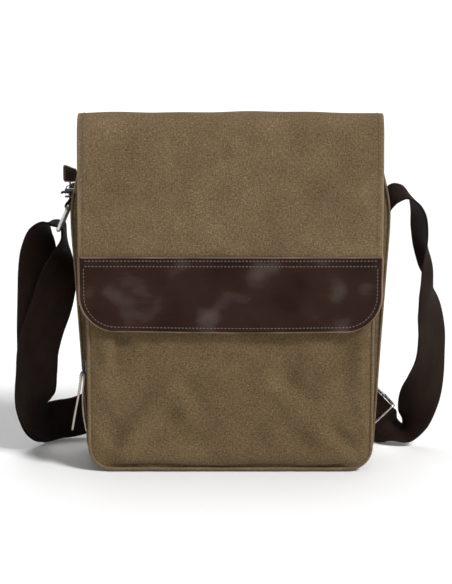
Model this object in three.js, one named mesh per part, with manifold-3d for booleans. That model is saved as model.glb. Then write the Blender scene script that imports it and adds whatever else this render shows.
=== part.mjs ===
// A canvas messenger bag with a leather-banded flap and a webbing shoulder strap.
// Millimetres. +X is to the wearer's right as the bag is seen from the front, +Y is towards the
// back of the bag, +Z is up. The origin is the centre of the underside.
//
// The bag is a main compartment (wall, back and gusset) with a zipped front compartment sewn to
// its wall. The flap folds over the top. The strap is one length of webbing: riveted to the right
// gusset, through the slider, behind the bag to the left ring, and back to the slider.
import * as THREE from "three";
import { mergeVertices } from "three/addons/utils/BufferGeometryUtils.js";
import Module from "manifold-3d";

const wasm = await Module();
wasm.setup();

// ---------------------------------------------------------------- driving dimensions
const GAP = 0.35; // clearance between touching pieces
const CANVAS = 2; // canvas wall with its interlining
const LINING = 0.8;
const LEAN = -0.035; // the main compartment leans forward by this much per mm of height

const BODY = {
  halfWidth: 137, // at the base corners
  corner: 24,
  top: 318, // top of the wall and the back
  topHalfWidth: 137,
  back: 47, // outer face of the back at z = 0
  wall: -18, // front face of the wall between the compartments at z = 0
};
// Half width of the gusset above the corner: it swells towards the strap, then tucks in.
const GUSSET_SWELL = [
  [BODY.halfWidth, BODY.corner],
  [140.8, 100],
  [145.4, 180],
  [148.5, 235],
  [147, 258],
  [141, 284],
];
const GUSSET_TOP = { left: 254, right: 276 };
const CORD = 1.7; // radius of the piping

const FRONT = { halfWidth: 134.5, corner: 23, bottom: 0.6, top: 236, topCorner: 14, face: -45 };
const FRONT_ZIP_END = { left: 92, right: 110 }; // heights where the front zip stops
const FRONT_TAPE = 1.2;

// The main zip runs from a tail past the left gusset towards the back right. Its two sides are
// parted in a V from the point where they meet, and swing together as the slider closes it.
const ZIP = {
  z: 262,
  tape: 0.8,
  teeth: 2.4,
  slot: 0.9, // from the closed line to the edge of each row of teeth
  tail: [-157, -14.9],
  meet: [-138, -13.5],
  right: 128,
  closedY: 5.6, // of the closed line at the right end
  open: { front: -18, rear: 27 }, // of the two sides at the right end
};

const FLAP = {
  halfWidth: 140,
  canvas: 1.4,
  lining: 1,
  hem: 137, // height of the lower edge
  corner: 33,
  bandTop: 206,
  leather: 2,
};
// The outer face of the flap in section, from the back seam over the top and down the front.
// The flap folds at the point FOLD of this list.
const FOLD = 7;
const FLAP_LINE = [
  [38, 323.2],
  [33, 325.4],
  [26, 328.2],
  [12, 332.6],
  [-10, 336.4],
  [-24, 337.6],
  [-31.5, 336.2],
  [-37.5, 332.2],
  [-42, 325.5],
  [-44.8, 315],
  [-47, 295],
  [-49.5, 262],
  [-51.2, 225],
  [-51.7, FLAP.bandTop],
  [-52, 180],
  [-52.4, FLAP.hem],
];

const SNAP = { x: 72, z: 172, radius: 9, cap: 6 };
const WEBBING = { width: 40, thickness: 1.8 };
const PIVOT_LEFT = new THREE.Vector3(-150, 19, 257);
const PIVOT_RIGHT = new THREE.Vector3(150, 22, 246);
const RING = { wire: 2, innerWidth: 42, length: 25, tilt: THREE.MathUtils.degToRad(24) };

// ---------------------------------------------------------------- materials
const material = (color, roughness, metalness = 0) =>
  new THREE.MeshStandardMaterial({ color, roughness, metalness });
const canvas = material(0x6b5a3e, 0.95);
const liningCloth = material(0x2e2a26, 0.9);
const leather = material(0x2e1f1c, 0.4);
const webbing = material(0x2c1f1b, 0.85);
const zipTape = material(0x1d1a18, 0.9);
const nickel = material(0xb9b7b2, 0.3, 1);
const gunmetal = material(0x4a4a4a, 0.4, 1);
const board = material(0x8d8778, 0.8);

// ---------------------------------------------------------------- helpers
const bag = new THREE.Group();
bag.name = "messenger_bag";

function add(name, geometry, itsMaterial) {
  const mesh = new THREE.Mesh(geometry, itsMaterial);
  mesh.name = name;
  bag.add(mesh);
  return mesh;
}

const v3 = (x, y, z) => new THREE.Vector3(x, y, z);

// A front-view shape (x, z) given a thickness from y0 to y1, leaning by lean per mm of height.
function plateY(shape, y0, y1, lean = 0, curveSegments = 4) {
  const g = new THREE.ExtrudeGeometry(shape, { depth: y1 - y0, bevelEnabled: false, curveSegments });
  g.rotateX(Math.PI / 2).translate(0, y1, 0);
  return sheared(g, lean);
}

function sheared(geometry, lean) {
  const p = geometry.getAttribute("position");
  for (let i = 0; i < p.count; i++) p.setY(i, p.getY(i) + lean * p.getZ(i));
  geometry.computeVertexNormals();
  return geometry;
}

// A side-view shape (y, z) extruded along X from x0 to x1.
function plateX(shape, x0, x1, curveSegments = 6) {
  const g = new THREE.ExtrudeGeometry(shape, { depth: x1 - x0, bevelEnabled: false, curveSegments });
  g.applyMatrix4(new THREE.Matrix4().makeBasis(v3(0, 1, 0), v3(0, 0, 1), v3(1, 0, 0)));
  return g.translate(x0, 0, 0);
}

function box(x0, x1, y0, y1, z0, z1) {
  const g = new THREE.BoxGeometry(x1 - x0, y1 - y0, z1 - z0);
  return g.translate((x0 + x1) / 2, (y0 + y1) / 2, (z0 + z1) / 2);
}

function polygon(points) {
  return new THREE.Shape(points.map(([a, b]) => new THREE.Vector2(a, b)));
}

function cylinder(radius, from, to, sides = 20) {
  const along = to.clone().sub(from);
  const g = new THREE.CylinderGeometry(radius, radius, along.length(), sides);
  const turn = new THREE.Quaternion().setFromUnitVectors(v3(0, 1, 0), along.normalize());
  return g.applyQuaternion(turn).translate(...from.clone().add(to).multiplyScalar(0.5).toArray());
}

// Joins sections into one closed solid. A frame is {p, u, v}, and each section point [a, b] lies
// at p + a u + b v. The section goes anticlockwise as seen against the direction of travel.
function sweep(frames, section, closed = false) {
  const n = section.length;
  const positions = [];
  const index = [];
  for (const { p, u, v } of frames)
    for (const [a, b] of section) {
      const q = p.clone().addScaledVector(u, a).addScaledVector(v, b);
      positions.push(q.x, q.y, q.z);
    }
  const rings = frames.length;
  for (let r = 0; r < (closed ? rings : rings - 1); r++)
    for (let k = 0; k < n; k++) {
      const a = r * n + k;
      const b = r * n + ((k + 1) % n);
      const c = ((r + 1) % rings) * n + k;
      const d = ((r + 1) % rings) * n + ((k + 1) % n);
      index.push(a, b, d, a, d, c);
    }
  if (!closed)
    for (let k = 1; k < n - 1; k++) {
      const end = (rings - 1) * n;
      index.push(0, k + 1, k, end, end + k, end + k + 1);
    }
  const g = new THREE.BufferGeometry();
  g.setAttribute("position", new THREE.Float32BufferAttribute(positions, 3));
  g.setIndex(index);
  g.computeVertexNormals();
  return g;
}

const circle = (radius, sides) =>
  Array.from({ length: sides }, (_, k) => {
    const a = (2 * Math.PI * (k + 0.5)) / sides;
    return [radius * Math.cos(a), radius * Math.sin(a)];
  });

// A round tube along points that lie in a plane with the given normal.
function tube(points, radius, sides, normal, closed = false) {
  const count = points.length;
  const frames = points.map((p, i) => {
    const before = closed ? points[(i + count - 1) % count] : points[Math.max(i - 1, 0)];
    const after = closed ? points[(i + 1) % count] : points[Math.min(i + 1, count - 1)];
    const t = after.clone().sub(before).normalize();
    return { p, u: t.clone().cross(normal).normalize(), v: normal.clone().negate() };
  });
  return sweep(frames, circle(radius, sides), closed);
}

// Webbing along stations [x, y, z, wx, wy, wz]: a point on its middle line, and the direction
// across it. Both are smoothed along the way.
function ribbonFrames(stations, steps) {
  const middle = new THREE.CatmullRomCurve3(stations.map((s) => v3(s[0], s[1], s[2])), false, "centripetal");
  const across = new THREE.CatmullRomCurve3(stations.map((s) => v3(s[3], s[4], s[5])), false, "catmullrom");
  return Array.from({ length: steps + 1 }, (_, i) => {
    const t = middle.getTangent(i / steps).normalize();
    const w = across.getPoint(i / steps);
    w.addScaledVector(t, -w.dot(t)).normalize();
    return { p: middle.getPoint(i / steps), u: w, v: t.clone().cross(w) };
  });
}

function ribbon(stations, steps, width, thickness) {
  return sweep(ribbonFrames(stations, steps), flat(width, thickness));
}

function solid(geometry) {
  const bare = geometry.index ? geometry.toNonIndexed() : geometry.clone();
  for (const name of Object.keys(bare.attributes)) if (name !== "position") bare.deleteAttribute(name);
  const g = mergeVertices(bare, 1e-4);
  return new wasm.Manifold(
    new wasm.Mesh({
      numProp: 3,
      vertProperties: new Float32Array(g.getAttribute("position").array),
      triVerts: new Uint32Array(g.index.array),
    }),
  );
}

function geometryOf(manifold) {
  const m = manifold.getMesh();
  const g = new THREE.BufferGeometry();
  g.setAttribute("position", new THREE.Float32BufferAttribute(m.vertProperties, 3));
  g.setIndex(new THREE.Uint32BufferAttribute(m.triVerts, 1));
  g.computeVertexNormals();
  return g;
}

const joined = (...geometries) => geometryOf(geometries.map(solid).reduce((a, b) => a.add(b)));
const cut = (from, ...tools) => geometryOf(tools.map(solid).reduce((a, b) => a.subtract(b), solid(from)));

// ---------------------------------------------------------------- outlines seen from the front
// The main compartment's outline, drawn in from its outer face by inset.
function bodyOutline(inset, top = BODY.top) {
  const w = BODY.halfWidth;
  const r = BODY.corner;
  const side = GUSSET_SWELL.map(([x, z]) => new THREE.Vector2(x - inset, z));
  const shape = new THREE.Shape();
  shape.moveTo(-(w - r), inset);
  shape.lineTo(w - r, inset);
  shape.absarc(w - r, r, r - inset, -Math.PI / 2, 0);
  shape.splineThru(side.slice(1));
  shape.lineTo(BODY.topHalfWidth - inset, top - 26);
  shape.lineTo(BODY.topHalfWidth - inset, top);
  shape.lineTo(-(BODY.topHalfWidth - inset), top);
  shape.lineTo(-(BODY.topHalfWidth - inset), top - 26);
  shape.lineTo(-side.at(-1).x, side.at(-1).y);
  shape.splineThru(side.slice(0, -1).reverse().map((p) => new THREE.Vector2(-p.x, p.y)));
  shape.absarc(-(w - r), r, r - inset, Math.PI, 1.5 * Math.PI);
  return shape;
}

// The front compartment's outline, drawn in by inset.
function frontOutline(inset) {
  const { halfWidth, corner: r, bottom, top, topCorner: t } = FRONT;
  const [w, z0, z1] = [halfWidth - inset, bottom + inset, top - inset];
  const shape = new THREE.Shape();
  shape.moveTo(-(halfWidth - r), z0);
  shape.lineTo(halfWidth - r, z0);
  shape.absarc(halfWidth - r, bottom + r, r - inset, -Math.PI / 2, 0);
  shape.lineTo(w, top - t);
  shape.absarc(halfWidth - t, top - t, t - inset, 0, Math.PI / 2);
  shape.lineTo(-(halfWidth - t), z1);
  shape.absarc(-(halfWidth - t), top - t, t - inset, Math.PI / 2, Math.PI);
  shape.lineTo(-w, bottom + r);
  shape.absarc(-(halfWidth - r), bottom + r, r - inset, Math.PI, 1.5 * Math.PI);
  return shape;
}

// The strip between two insets of a U-shaped bottom with rounded corners.
function cornerStrip({ halfWidth, corner, bottom = 0, thickness }) {
  const c = halfWidth - corner;
  const z = bottom + corner;
  const shape = new THREE.Shape();
  shape.moveTo(-halfWidth, z);
  shape.absarc(-c, z, corner, Math.PI, 1.5 * Math.PI);
  shape.lineTo(c, bottom);
  shape.absarc(c, z, corner, -Math.PI / 2, 0);
  shape.lineTo(halfWidth - thickness, z);
  shape.absarc(c, z, corner - thickness, 0, -Math.PI / 2, true);
  shape.lineTo(-c, bottom + thickness);
  shape.absarc(-c, z, corner - thickness, 1.5 * Math.PI, Math.PI, true);
  return shape;
}

// One side wall in front view, from z0 up to z1 along the swelling side. Side is 1 or -1.
function gussetStrip(side, z0, z1, thickness) {
  const curve = new THREE.SplineCurve(GUSSET_SWELL.map(([x, z]) => new THREE.Vector2(x, z)));
  const outer = curve.getPoints(24).filter((p) => p.y >= z0 && p.y <= z1);
  const points = [
    ...outer.map((p) => [side * p.x, p.y]),
    ...outer.reverse().map((p) => [side * (p.x - thickness), p.y]),
  ];
  return polygon(points);
}

function gussetX(z) {
  const curve = new THREE.SplineCurve(GUSSET_SWELL.map(([x, y]) => new THREE.Vector2(x, y)));
  return curve.getPoints(200).reduce((a, b) => (Math.abs(b.y - z) < Math.abs(a.y - z) ? b : a)).x;
}

// ---------------------------------------------------------------- main compartment
const EDGE = 2 * CORD + GAP; // from an outline to the edge of the panel inside its piping
const WALL_BACK = BODY.wall + CANVAS + GAP; // faces of the space between the wall and the back
const BACK_FRONT = BODY.back - CANVAS / 2 - CORD - GAP;

function mainCompartment() {
  add("back_panel", plateY(bodyOutline(EDGE), BODY.back - CANVAS, BODY.back, LEAN), canvas);
  const cordAt = BODY.back - CANVAS / 2;
  const sides = openPath(bodyOutline(CORD + 0.1), 258);
  add("back_piping", cord(sides, cordAt, LEAN, false), canvas);
  add("inner_wall", plateY(bodyOutline(0), BODY.wall, BODY.wall + CANVAS, LEAN), canvas);
  const base = cornerStrip({ ...BODY, bottom: 0, thickness: CANVAS });
  add("base_panel", plateY(base, WALL_BACK, BACK_FRONT, LEAN), canvas);
  for (const [name, side] of [["left", -1], ["right", 1]]) {
    const strip = gussetStrip(side, BODY.corner + 1, GUSSET_TOP[name], CANVAS);
    add(`${name}_gusset`, plateY(strip, WALL_BACK, BACK_FRONT, LEAN), canvas);
  }
  const stiffener = box(-106, 106, WALL_BACK + 3, BACK_FRONT - 3, CANVAS + GAP, CANVAS + GAP + 2);
  add("base_board", stiffener, board);
  mainLining();
}

// An open-topped cloth box inside the main compartment, under the zip.
function mainLining() {
  const inset = CANVAS + 3.4;
  const [y0, y1] = [WALL_BACK + 0.4, BACK_FRONT - 0.4];
  const outer = plateY(bodyOutline(inset, 250), y0, y1, LEAN);
  const cavity = plateY(bodyOutline(inset + LINING, 256), y0 + LINING, y1 - LINING, LEAN);
  const above = box(-200, 200, -100, 100, 248, 400);
  add("main_lining", cut(outer, cavity, above), liningCloth);
}

// The part of a body outline below top, from its left side round the base to its right side.
function openPath(shape, top) {
  const points = shape.getPoints(3);
  const first = points.findIndex((p, i) => p.x < 0 && p.y < top && points[i - 1]?.y >= top);
  return [...points.slice(first), ...points.slice(0, first)].filter((p) => p.y < top);
}

// Cord-filled edging along an outline in a plane that leans.
function cord(outline, y, lean, closed) {
  const points = outline.filter((p, i) => p.distanceTo(outline[(i || outline.length) - 1]) > 0.1);
  return tube(points.map((p) => v3(p.x, y + lean * p.y, p.y)), CORD, 6, v3(0, 1, 0), closed);
}

// ---------------------------------------------------------------- front compartment
function frontCompartment() {
  const { halfWidth: w, corner: r, bottom, face } = FRONT;
  add("front_panel", plateY(frontOutline(EDGE), face, face + CANVAS), canvas);
  const cordAt = face + CANVAS / 2;
  add("front_piping", cord(frontOutline(CORD).getPoints(3), cordAt, 0, true), canvas);

  // Closed side walls and base below the zip. Their back edge follows the leaning wall.
  const y0 = cordAt + CORD + GAP;
  const back = (z) => BODY.wall - GAP + LEAN * z;
  const base = cornerStrip({ halfWidth: w, corner: r, bottom, thickness: CANVAS });
  add("front_base", plateY(base, y0, back(0) - 1.2), canvas);
  for (const [name, side] of [["left", -1], ["right", 1]]) {
    const [z0, z1] = [bottom + r + GAP, FRONT_ZIP_END[name]];
    const wall = polygon([[y0, z0], [back(z0), z0], [back(z1), z1], [y0, z1]]);
    const x = side > 0 ? w - CANVAS : -w;
    add(`front_${name}_side`, plateX(wall, x, x + CANVAS), canvas);
  }
  frontZip(y0);
}

// The zip tapes of the front compartment run up the left side, over the top and down the right.
function frontZip(y0) {
  const { halfWidth: w, top } = FRONT;
  const arch = (outer, inner) => {
    const [ow, iw] = [w - outer, w - inner];
    const { left, right } = FRONT_ZIP_END;
    const [cornerR, z0, z1] = [FRONT.topCorner, left + GAP, right + GAP];
    const shape = new THREE.Shape();
    shape.moveTo(-ow, z0);
    shape.lineTo(-iw, z0);
    shape.lineTo(-iw, top - cornerR);
    shape.absarc(-w + cornerR, top - cornerR, cornerR - inner, Math.PI, Math.PI / 2, true);
    shape.absarc(w - cornerR, top - cornerR, cornerR - inner, Math.PI / 2, 0, true);
    shape.lineTo(iw, z1);
    shape.lineTo(ow, z1);
    shape.lineTo(ow, top - cornerR);
    shape.absarc(w - cornerR, top - cornerR, cornerR - outer, 0, Math.PI / 2);
    shape.absarc(-w + cornerR, top - cornerR, cornerR - outer, Math.PI / 2, Math.PI);
    return shape;
  };
  const strip = arch(0, FRONT_TAPE);
  const coil = arch(0.1, 1.9);
  const wall = BODY.wall - GAP;
  add("front_zip_tape_outer", plateY(strip, y0, y0 + 3), zipTape);
  add("front_zip_coil_outer", plateY(coil, y0 + 3 + GAP, y0 + 4.6), gunmetal);
  add("front_zip_tape_inner", plateY(strip, wall - 3, wall, LEAN), zipTape);
  add("front_zip_coil_inner", plateY(coil, wall - 4.6, wall - 3 - GAP, LEAN), gunmetal);
}

// The slider of the front zip sits at the lower left end. A strip of leather hangs from its
// link, folded so that both tails hang down.
function frontZipSlider() {
  const x = -FRONT.halfWidth - 0.5;
  const y = -35.5;
  const z = FRONT_ZIP_END.left + 9;
  const slider = joined(
    box(x - 1.6, x, y - 4.5, y + 4.5, z - 6, z + 6),
    box(x - 5, x - 1.2, y - 1.4, y + 1.4, z - 4.6, z - 3.2),
    box(x - 5, x - 1.2, y - 1.4, y + 1.4, z + 3.2, z + 4.6),
    box(x - 5, x - 3.9, y - 1.4, y + 1.4, z - 4.6, z + 4.6),
  );
  add("front_zip_slider", slider, gunmetal);
  const loop = [[-3.2, 1.4], [3.2, 1.4], [4.6, -3], [4.6, -9], [-4.6, -9], [-4.6, -3]];
  const link = loop.map(([a, b]) => v3(x - 2.8 + b * 0.16, y + a, z + b));
  add("front_zip_link", tube(link, 0.6, 6, v3(-1, 0, 0.16).normalize(), true), gunmetal);

  const cx = x - 2.8 - 9 * 0.16;
  const tails = [[-10.5, -62], [-7.6, -46], [-4.4, -30], [-2.2, -16], [-1.7, -9.5], [-0.9, -7.6],
    [0.4, -7.3], [1.5, -8.4], [1.7, -10.5], [1.4, -16], [0.6, -24], [0.2, -36], [1.2, -50], [3.2, -63]];
  add("front_zip_pull", ribbon(tails.map(([a, b]) => [cx + a, y, z + b, 0, 1, 0]), 44, 6.6, 1.1), leather);
}

// ---------------------------------------------------------------- inside the main compartment
function insides() {
  const back = BACK_FRONT - 0.4 - LINING;
  const sleeve = new THREE.Shape();
  sleeve.moveTo(-120, 9);
  sleeve.lineTo(120, 9);
  sleeve.lineTo(120, 215);
  sleeve.absarc(110, 215, 10, 0, Math.PI / 2);
  sleeve.lineTo(-110, 225);
  sleeve.absarc(-110, 215, 10, Math.PI / 2, Math.PI);
  add("padded_divider", plateY(sleeve, back - 17, back - 13, LEAN), liningCloth);

  // A closing tab over the sleeve, from the back lining to the front of the divider.
  const s = (dy, z) => [0, back - dy + LEAN * z, z, 1, 0, 0];
  const tab = [s(1.4, 238), s(4, 243), s(11, 240), s(17.6, 234), s(18.6, 222), s(18.6, 205)];
  add("sleeve_tab", ribbon(tab, 18, 28, 1.4), webbing);

  // A slip pocket with pen slots on the front wall, open at the top.
  const front = WALL_BACK + 0.4 + LINING;
  const pocket = (x0, x1, z0, z1, deep) => {
    const outer = box(x0, x1, front + GAP, front + deep, z0, z1);
    const inner = box(x0 + 1, x1 - 1, front + GAP - 1, front + deep - 1, z0 + 1.4, z1 + 5);
    return sheared(cut(outer, inner), LEAN);
  };
  add("slip_pocket", pocket(-20, 100, 95, 205, 9), liningCloth);
  for (const i of [0, 1]) add(`pen_slot_${i + 1}`, pocket(-62 + 20 * i, -44 + 20 * i, 95, 215, 14), liningCloth);
}

// ---------------------------------------------------------------- main zip
// The closed line of the zip, and the point at a distance across it.
const zipY = (x) => {
  const [[x0, y0], x1, y1] = [ZIP.meet, ZIP.right, ZIP.closedY];
  return y0 + ((x - x0) * (y1 - y0)) / (x1 - x0);
};

function mainZip() {
  const { z, slot, meet, right, open } = ZIP;
  const lean = LEAN * z;
  const [half, coilHalf] = [ZIP.tape / 2, ZIP.teeth / 2];
  for (const [name, side, outer, end] of [
    ["front", -1, WALL_BACK + lean + 0.3, open.front],
    ["rear", 1, BACK_FRONT + lean - 0.3, open.rear],
  ]) {
    const start = [meet[0] + 0.4, meet[1] + side * slot];
    const tape = [
      [start[0], start[1] + side * 0.5],
      [right, end + side * 0.5],
      [right, outer],
      [start[0] + 4, outer],
    ];
    add(`main_zip_tape_${name}`, plateZ(tape, z - half, z - half + ZIP.tape), zipTape);
    const coil = [start, [right, end], [right, end + side * 1.5], [start[0], start[1] + side * 1.5]];
    const rows = [z - coilHalf, z + coilHalf];
    const notch = plateZ([[start[0] - 1, start[1] + side * 0.3], [right + 1, end + side * 0.3],
      [right + 1, end + side * 3], [start[0] - 1, start[1] + side * 3]], z - half - 0.3, z + half + 0.3);
    add(`main_zip_coil_${name}`, cut(plateZ(coil, ...rows), notch), gunmetal);
  }
  mainZipTail();
  mainZipSlider();
}

// The closed end of the zip past the gusset, slotted between the teeth for the slider's post.
function mainZipTail() {
  const [x0, x1] = [ZIP.tail[0], ZIP.meet[0]];
  const across = (x, d) => [x, zipY(x) + d];
  const plate = [across(x0, -6.2), across(x1, -6.2), across(x1, 6.2), across(x0, 6.2)];
  const rows = [across(x0 + 1, -2.4), across(x1, -2.4), across(x1, 2.4), across(x0 + 1, 2.4)];
  const [t, c] = [ZIP.tape / 2, ZIP.teeth / 2];
  const slot = [across(x0 + 3, -ZIP.slot), across(x1 + 1, -ZIP.slot), across(x1 + 1, ZIP.slot),
    across(x0 + 3, ZIP.slot)];
  const body = joined(plateZ(plate, ZIP.z - t, ZIP.z + t), plateZ(rows, ZIP.z - c, ZIP.z + c));
  add("main_zip_tail", cut(body, plateZ(slot, ZIP.z - 3, ZIP.z + 3)), zipTape);
}

// A top-view polygon (x, y) with a thickness from z0 to z1.
function plateZ(points, z0, z1) {
  const g = new THREE.ExtrudeGeometry(polygon(points), { depth: z1 - z0, bevelEnabled: false });
  return g.translate(0, 0, z0);
}

// Two plates with a post between the coils, and a leather pull standing on the upper plate.
function mainZipSlider() {
  const x = -150;
  const y = zipY(x);
  const { z } = ZIP;
  const plate = (z0, z1) => box(x - 5, x + 5, y - 4.4, y + 4.4, z0, z1);
  const slider = joined(
    plate(z - 3.2, z - 1.7),
    plate(z + 1.7, z + 3.2),
    box(x - 3, x - 1, y - 0.5, y + 0.5, z - 2, z + 2),
    box(x - 4, x - 2.6, y - 1.5, y + 1.5, z + 3, z + 6.6),
    box(x + 2.6, x + 4, y - 1.5, y + 1.5, z + 3, z + 6.6),
    box(x - 4, x + 4, y - 1.5, y + 1.5, z + 5.4, z + 6.6),
  );
  add("main_zip_slider", slider, gunmetal);

  // The link passes under the bridge and carries the leather tab.
  const loop = [[-2.2, 4.4], [2.2, 4.4], [3.8, 6.8], [3.8, 9.6], [-3.8, 9.6], [-3.8, 6.8]];
  const link = loop.map(([a, b]) => v3(x, y + a, z + b));
  add("main_zip_link", tube(link, 0.6, 6, v3(-1, 0, 0), true), gunmetal);
  const tab = [[-5.6, 10.6], [5.6, 10.6], [5.6, 21], [-5.6, 25]].map(([a, b]) => [x + a, z + b]);
  add("main_zip_pull", plateY(polygon(tab), y - 1.2, y + 1.2), leather);
}

// ---------------------------------------------------------------- back pocket zip
function backZip() {
  const z = 236;
  const face = BODY.back + GAP + LEAN * z + 0.3;
  const tilt = (g) => sheared(g.translate(0, -LEAN * z, 0), LEAN);
  const surround = box(-98, 98, face, face + 1.2, z - 13, z + 13);
  const window_ = box(-90, 90, face - 1, face + 3, z - 6, z + 6);
  add("back_pocket_welt", tilt(cut(surround, window_)), canvas);
  add("back_zip_tape", tilt(box(-89.5, 89.5, face, face + 0.7, z - 5.6, z + 5.6)), zipTape);
  add("back_zip_coil", tilt(box(-88, 88, face + 1.05, face + 1.9, z - 2, z + 2)), gunmetal);
  const x = -78;
  const y = face + 2.6;
  const slider = joined(
    box(x - 6, x + 6, y, y + 1.4, z - 4, z + 4),
    box(x - 4, x - 2.8, y + 1, y + 4.6, z - 0.8, z + 0.8),
    box(x + 2.8, x + 4, y + 1, y + 4.6, z - 0.8, z + 0.8),
    box(x - 4, x + 4, y + 3.6, y + 4.6, z - 0.8, z + 0.8),
  );
  add("back_zip_slider", slider, gunmetal);
  const fold = ([dy, dz]) => [x, y + dy, z + dz, 1, 0, 0];
  const pull = [[4.6, -44], [4.9, -24], [5.5, -8], [5.85, 0], [5.34, 1.24], [4.1, 1.75], [2.86, 1.24],
    [2.35, 0], [2.5, -3], [3.4, -8], [3.4, -16]].map(fold);
  add("back_zip_pull", ribbon(pull, 30, 4.6, 0.8), leather);
}

// ---------------------------------------------------------------- flap
// A layer of the flap between two points of its section line, moved inwards by depth. The
// points are counted along the list, so 6.5 lies between points 6 and 7.
function flapLayer(from, to, depth, thickness) {
  const curve = new THREE.SplineCurve(FLAP_LINE.map(([y, z]) => new THREE.Vector2(y, z)));
  const count = 2 * Math.ceil(to - from);
  const moved = (by) =>
    Array.from({ length: count + 1 }, (_, i) => {
      const t = (from + (i / count) * (to - from)) / (FLAP_LINE.length - 1);
      const p = curve.getPoint(t);
      const along = curve.getTangent(t);
      return [p.x - along.y * by, p.y + along.x * by];
    });
  return polygon([...moved(depth), ...moved(depth + thickness).reverse()]);
}

// Rounds the two lower corners of a layer of the flap.
function rounded(geometry) {
  const { halfWidth: w, hem, corner: r } = FLAP;
  const tool = (side) => {
    const shape = new THREE.Shape();
    shape.moveTo(side * (w + 5), hem - 5);
    shape.lineTo(side * (w + 5), hem + r);
    shape.lineTo(side * w, hem + r);
    const n = 8;
    for (let i = 1; i <= n; i++) {
      const a = (i / n) * (Math.PI / 2);
      shape.lineTo(side * (w - r + r * Math.cos(a)), hem + r - r * Math.sin(a));
    }
    shape.lineTo(side * (w - r), hem - 5);
    return plateY(shape, -70, -40);
  };
  return cut(geometry, tool(1), tool(-1));
}

function flap() {
  const { halfWidth: w, canvas: c, lining: l } = FLAP;
  const inner = w - 3;
  const last = FLAP_LINE.length - 1;
  const layer = (from, to, depth, thickness, half) =>
    plateX(flapLayer(from, to, depth, thickness), -half, half);
  add("flap_top_canvas", layer(0, FOLD - 0.04, 0, c, w), canvas);
  add("flap_top_lining", layer(0, FOLD - 0.04, c + GAP, l, inner), liningCloth);
  add("flap_canvas", rounded(layer(FOLD + 0.04, last, 0, c, w)), canvas);
  add("flap_lining", rounded(layer(FOLD + 0.04, last, c + GAP, l, inner)), liningCloth);

  // The leather band covers the lower part of the flap's outer face.
  const top = FLAP_LINE.findIndex(([, z]) => z === FLAP.bandTop);
  add("leather_band", rounded(layer(top, last, -GAP - FLAP.leather, FLAP.leather, w)), leather);

  // The flap is sewn to the back below this strip.
  const y = (z) => BODY.back + GAP + LEAN * z;
  const seam = polygon([[y(292), 292], [y(292) + 1.4, 292], [y(318.4) + 1.4, 318.4], [y(318.4), 318.4]]);
  add("flap_seam_strip", plateX(seam, -132, 132), canvas);
}

function snaps() {
  for (const [name, side] of [["left", -1], ["right", 1]]) {
    const at = (y) => v3(side * SNAP.x, y, SNAP.z);
    const socket = cylinder(SNAP.radius, at(FRONT.face - GAP), at(FRONT.face - 1.8));
    add(`snap_${name}_socket`, socket, nickel);
    add(`snap_${name}_stud`, cylinder(SNAP.radius, at(-49), at(-47.3)), nickel);
  }
}

// ---------------------------------------------------------------- strap hardware
const PIVOT_AXIS = PIVOT_RIGHT.clone().sub(PIVOT_LEFT).normalize();

// Each rivet holds webbing against its gusset: stack is from the gusset's face to the head.
function rivets() {
  for (const [name, pivot, side, stack] of [["left", PIVOT_LEFT, -1, 6.6], ["right", PIVOT_RIGHT, 1, 3.9]]) {
    const along = (d) => pivot.clone().addScaledVector(PIVOT_AXIS, d);
    const skin = side * gussetX(pivot.z) - pivot.x; // from the pivot point to the gusset's face
    const [inside, outside] = [skin - side * (CANVAS + 2.4), skin + side * (stack + 1.2)];
    const pin = cylinder(2, along(inside), along(outside), 12);
    const head = cylinder(4.2, along(outside - side * 1.2), along(outside), 16);
    const washer = cylinder(5, along(inside), along(inside + side * 1.2), 16);
    add(`rivet_${name}`, joined(pin, head, washer), nickel);
    const gusset = bag.getObjectByName(`${name}_gusset`);
    gusset.geometry = cut(gusset.geometry, cylinder(2.4, along(inside - side * 2), along(outside), 12));
  }
}

// A hole for the rivet through the webbing that turns on it.
function riveted(geometry, pivot) {
  const along = (d) => pivot.clone().addScaledVector(PIVOT_AXIS, d);
  return cut(geometry, cylinder(2.5, along(-7), along(7), 12));
}

// The left tab: webbing folded round the ring's upper bar, its two ends under the rivet.
const TAB = { thickness: 1.6, x: -149.9, top: 265 }; // x of the inner layer's middle
const RING_TOP = v3(TAB.x - RING.wire - GAP - TAB.thickness / 2, PIVOT_LEFT.y, 247);
const RING_DOWN = v3(-Math.sin(RING.tilt), 0, -Math.cos(RING.tilt));
const RING_BOTTOM = RING_TOP.clone().addScaledVector(RING_DOWN, RING.length);

function leftTab() {
  const r = RING_TOP.x - TAB.x; // of the fold, from the ring's bar to the webbing's middle
  const y = PIVOT_LEFT.y;
  const { x: cx, z: cz } = RING_TOP;
  const fold = Array.from({ length: 7 }, (_, i) => {
    const a = (i / 6) * Math.PI;
    return [cx - r * Math.cos(a), y, cz + r * Math.sin(a)];
  });
  const outer = TAB.x - TAB.thickness - GAP;
  const path = [[TAB.x, y, TAB.top], [TAB.x, y, 256], ...fold, [cx + r + 1, y, 249.4]];
  path.push([outer - 0.7, y, 251.8], [outer, y, 255], [outer, y, TAB.top]);
  const tab = ribbon(path.map((p) => [...p, 0, 1, 0]), 44, WEBBING.width - 1, TAB.thickness);
  add("tab_left", riveted(tab, PIVOT_LEFT), webbing);
}

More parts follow.
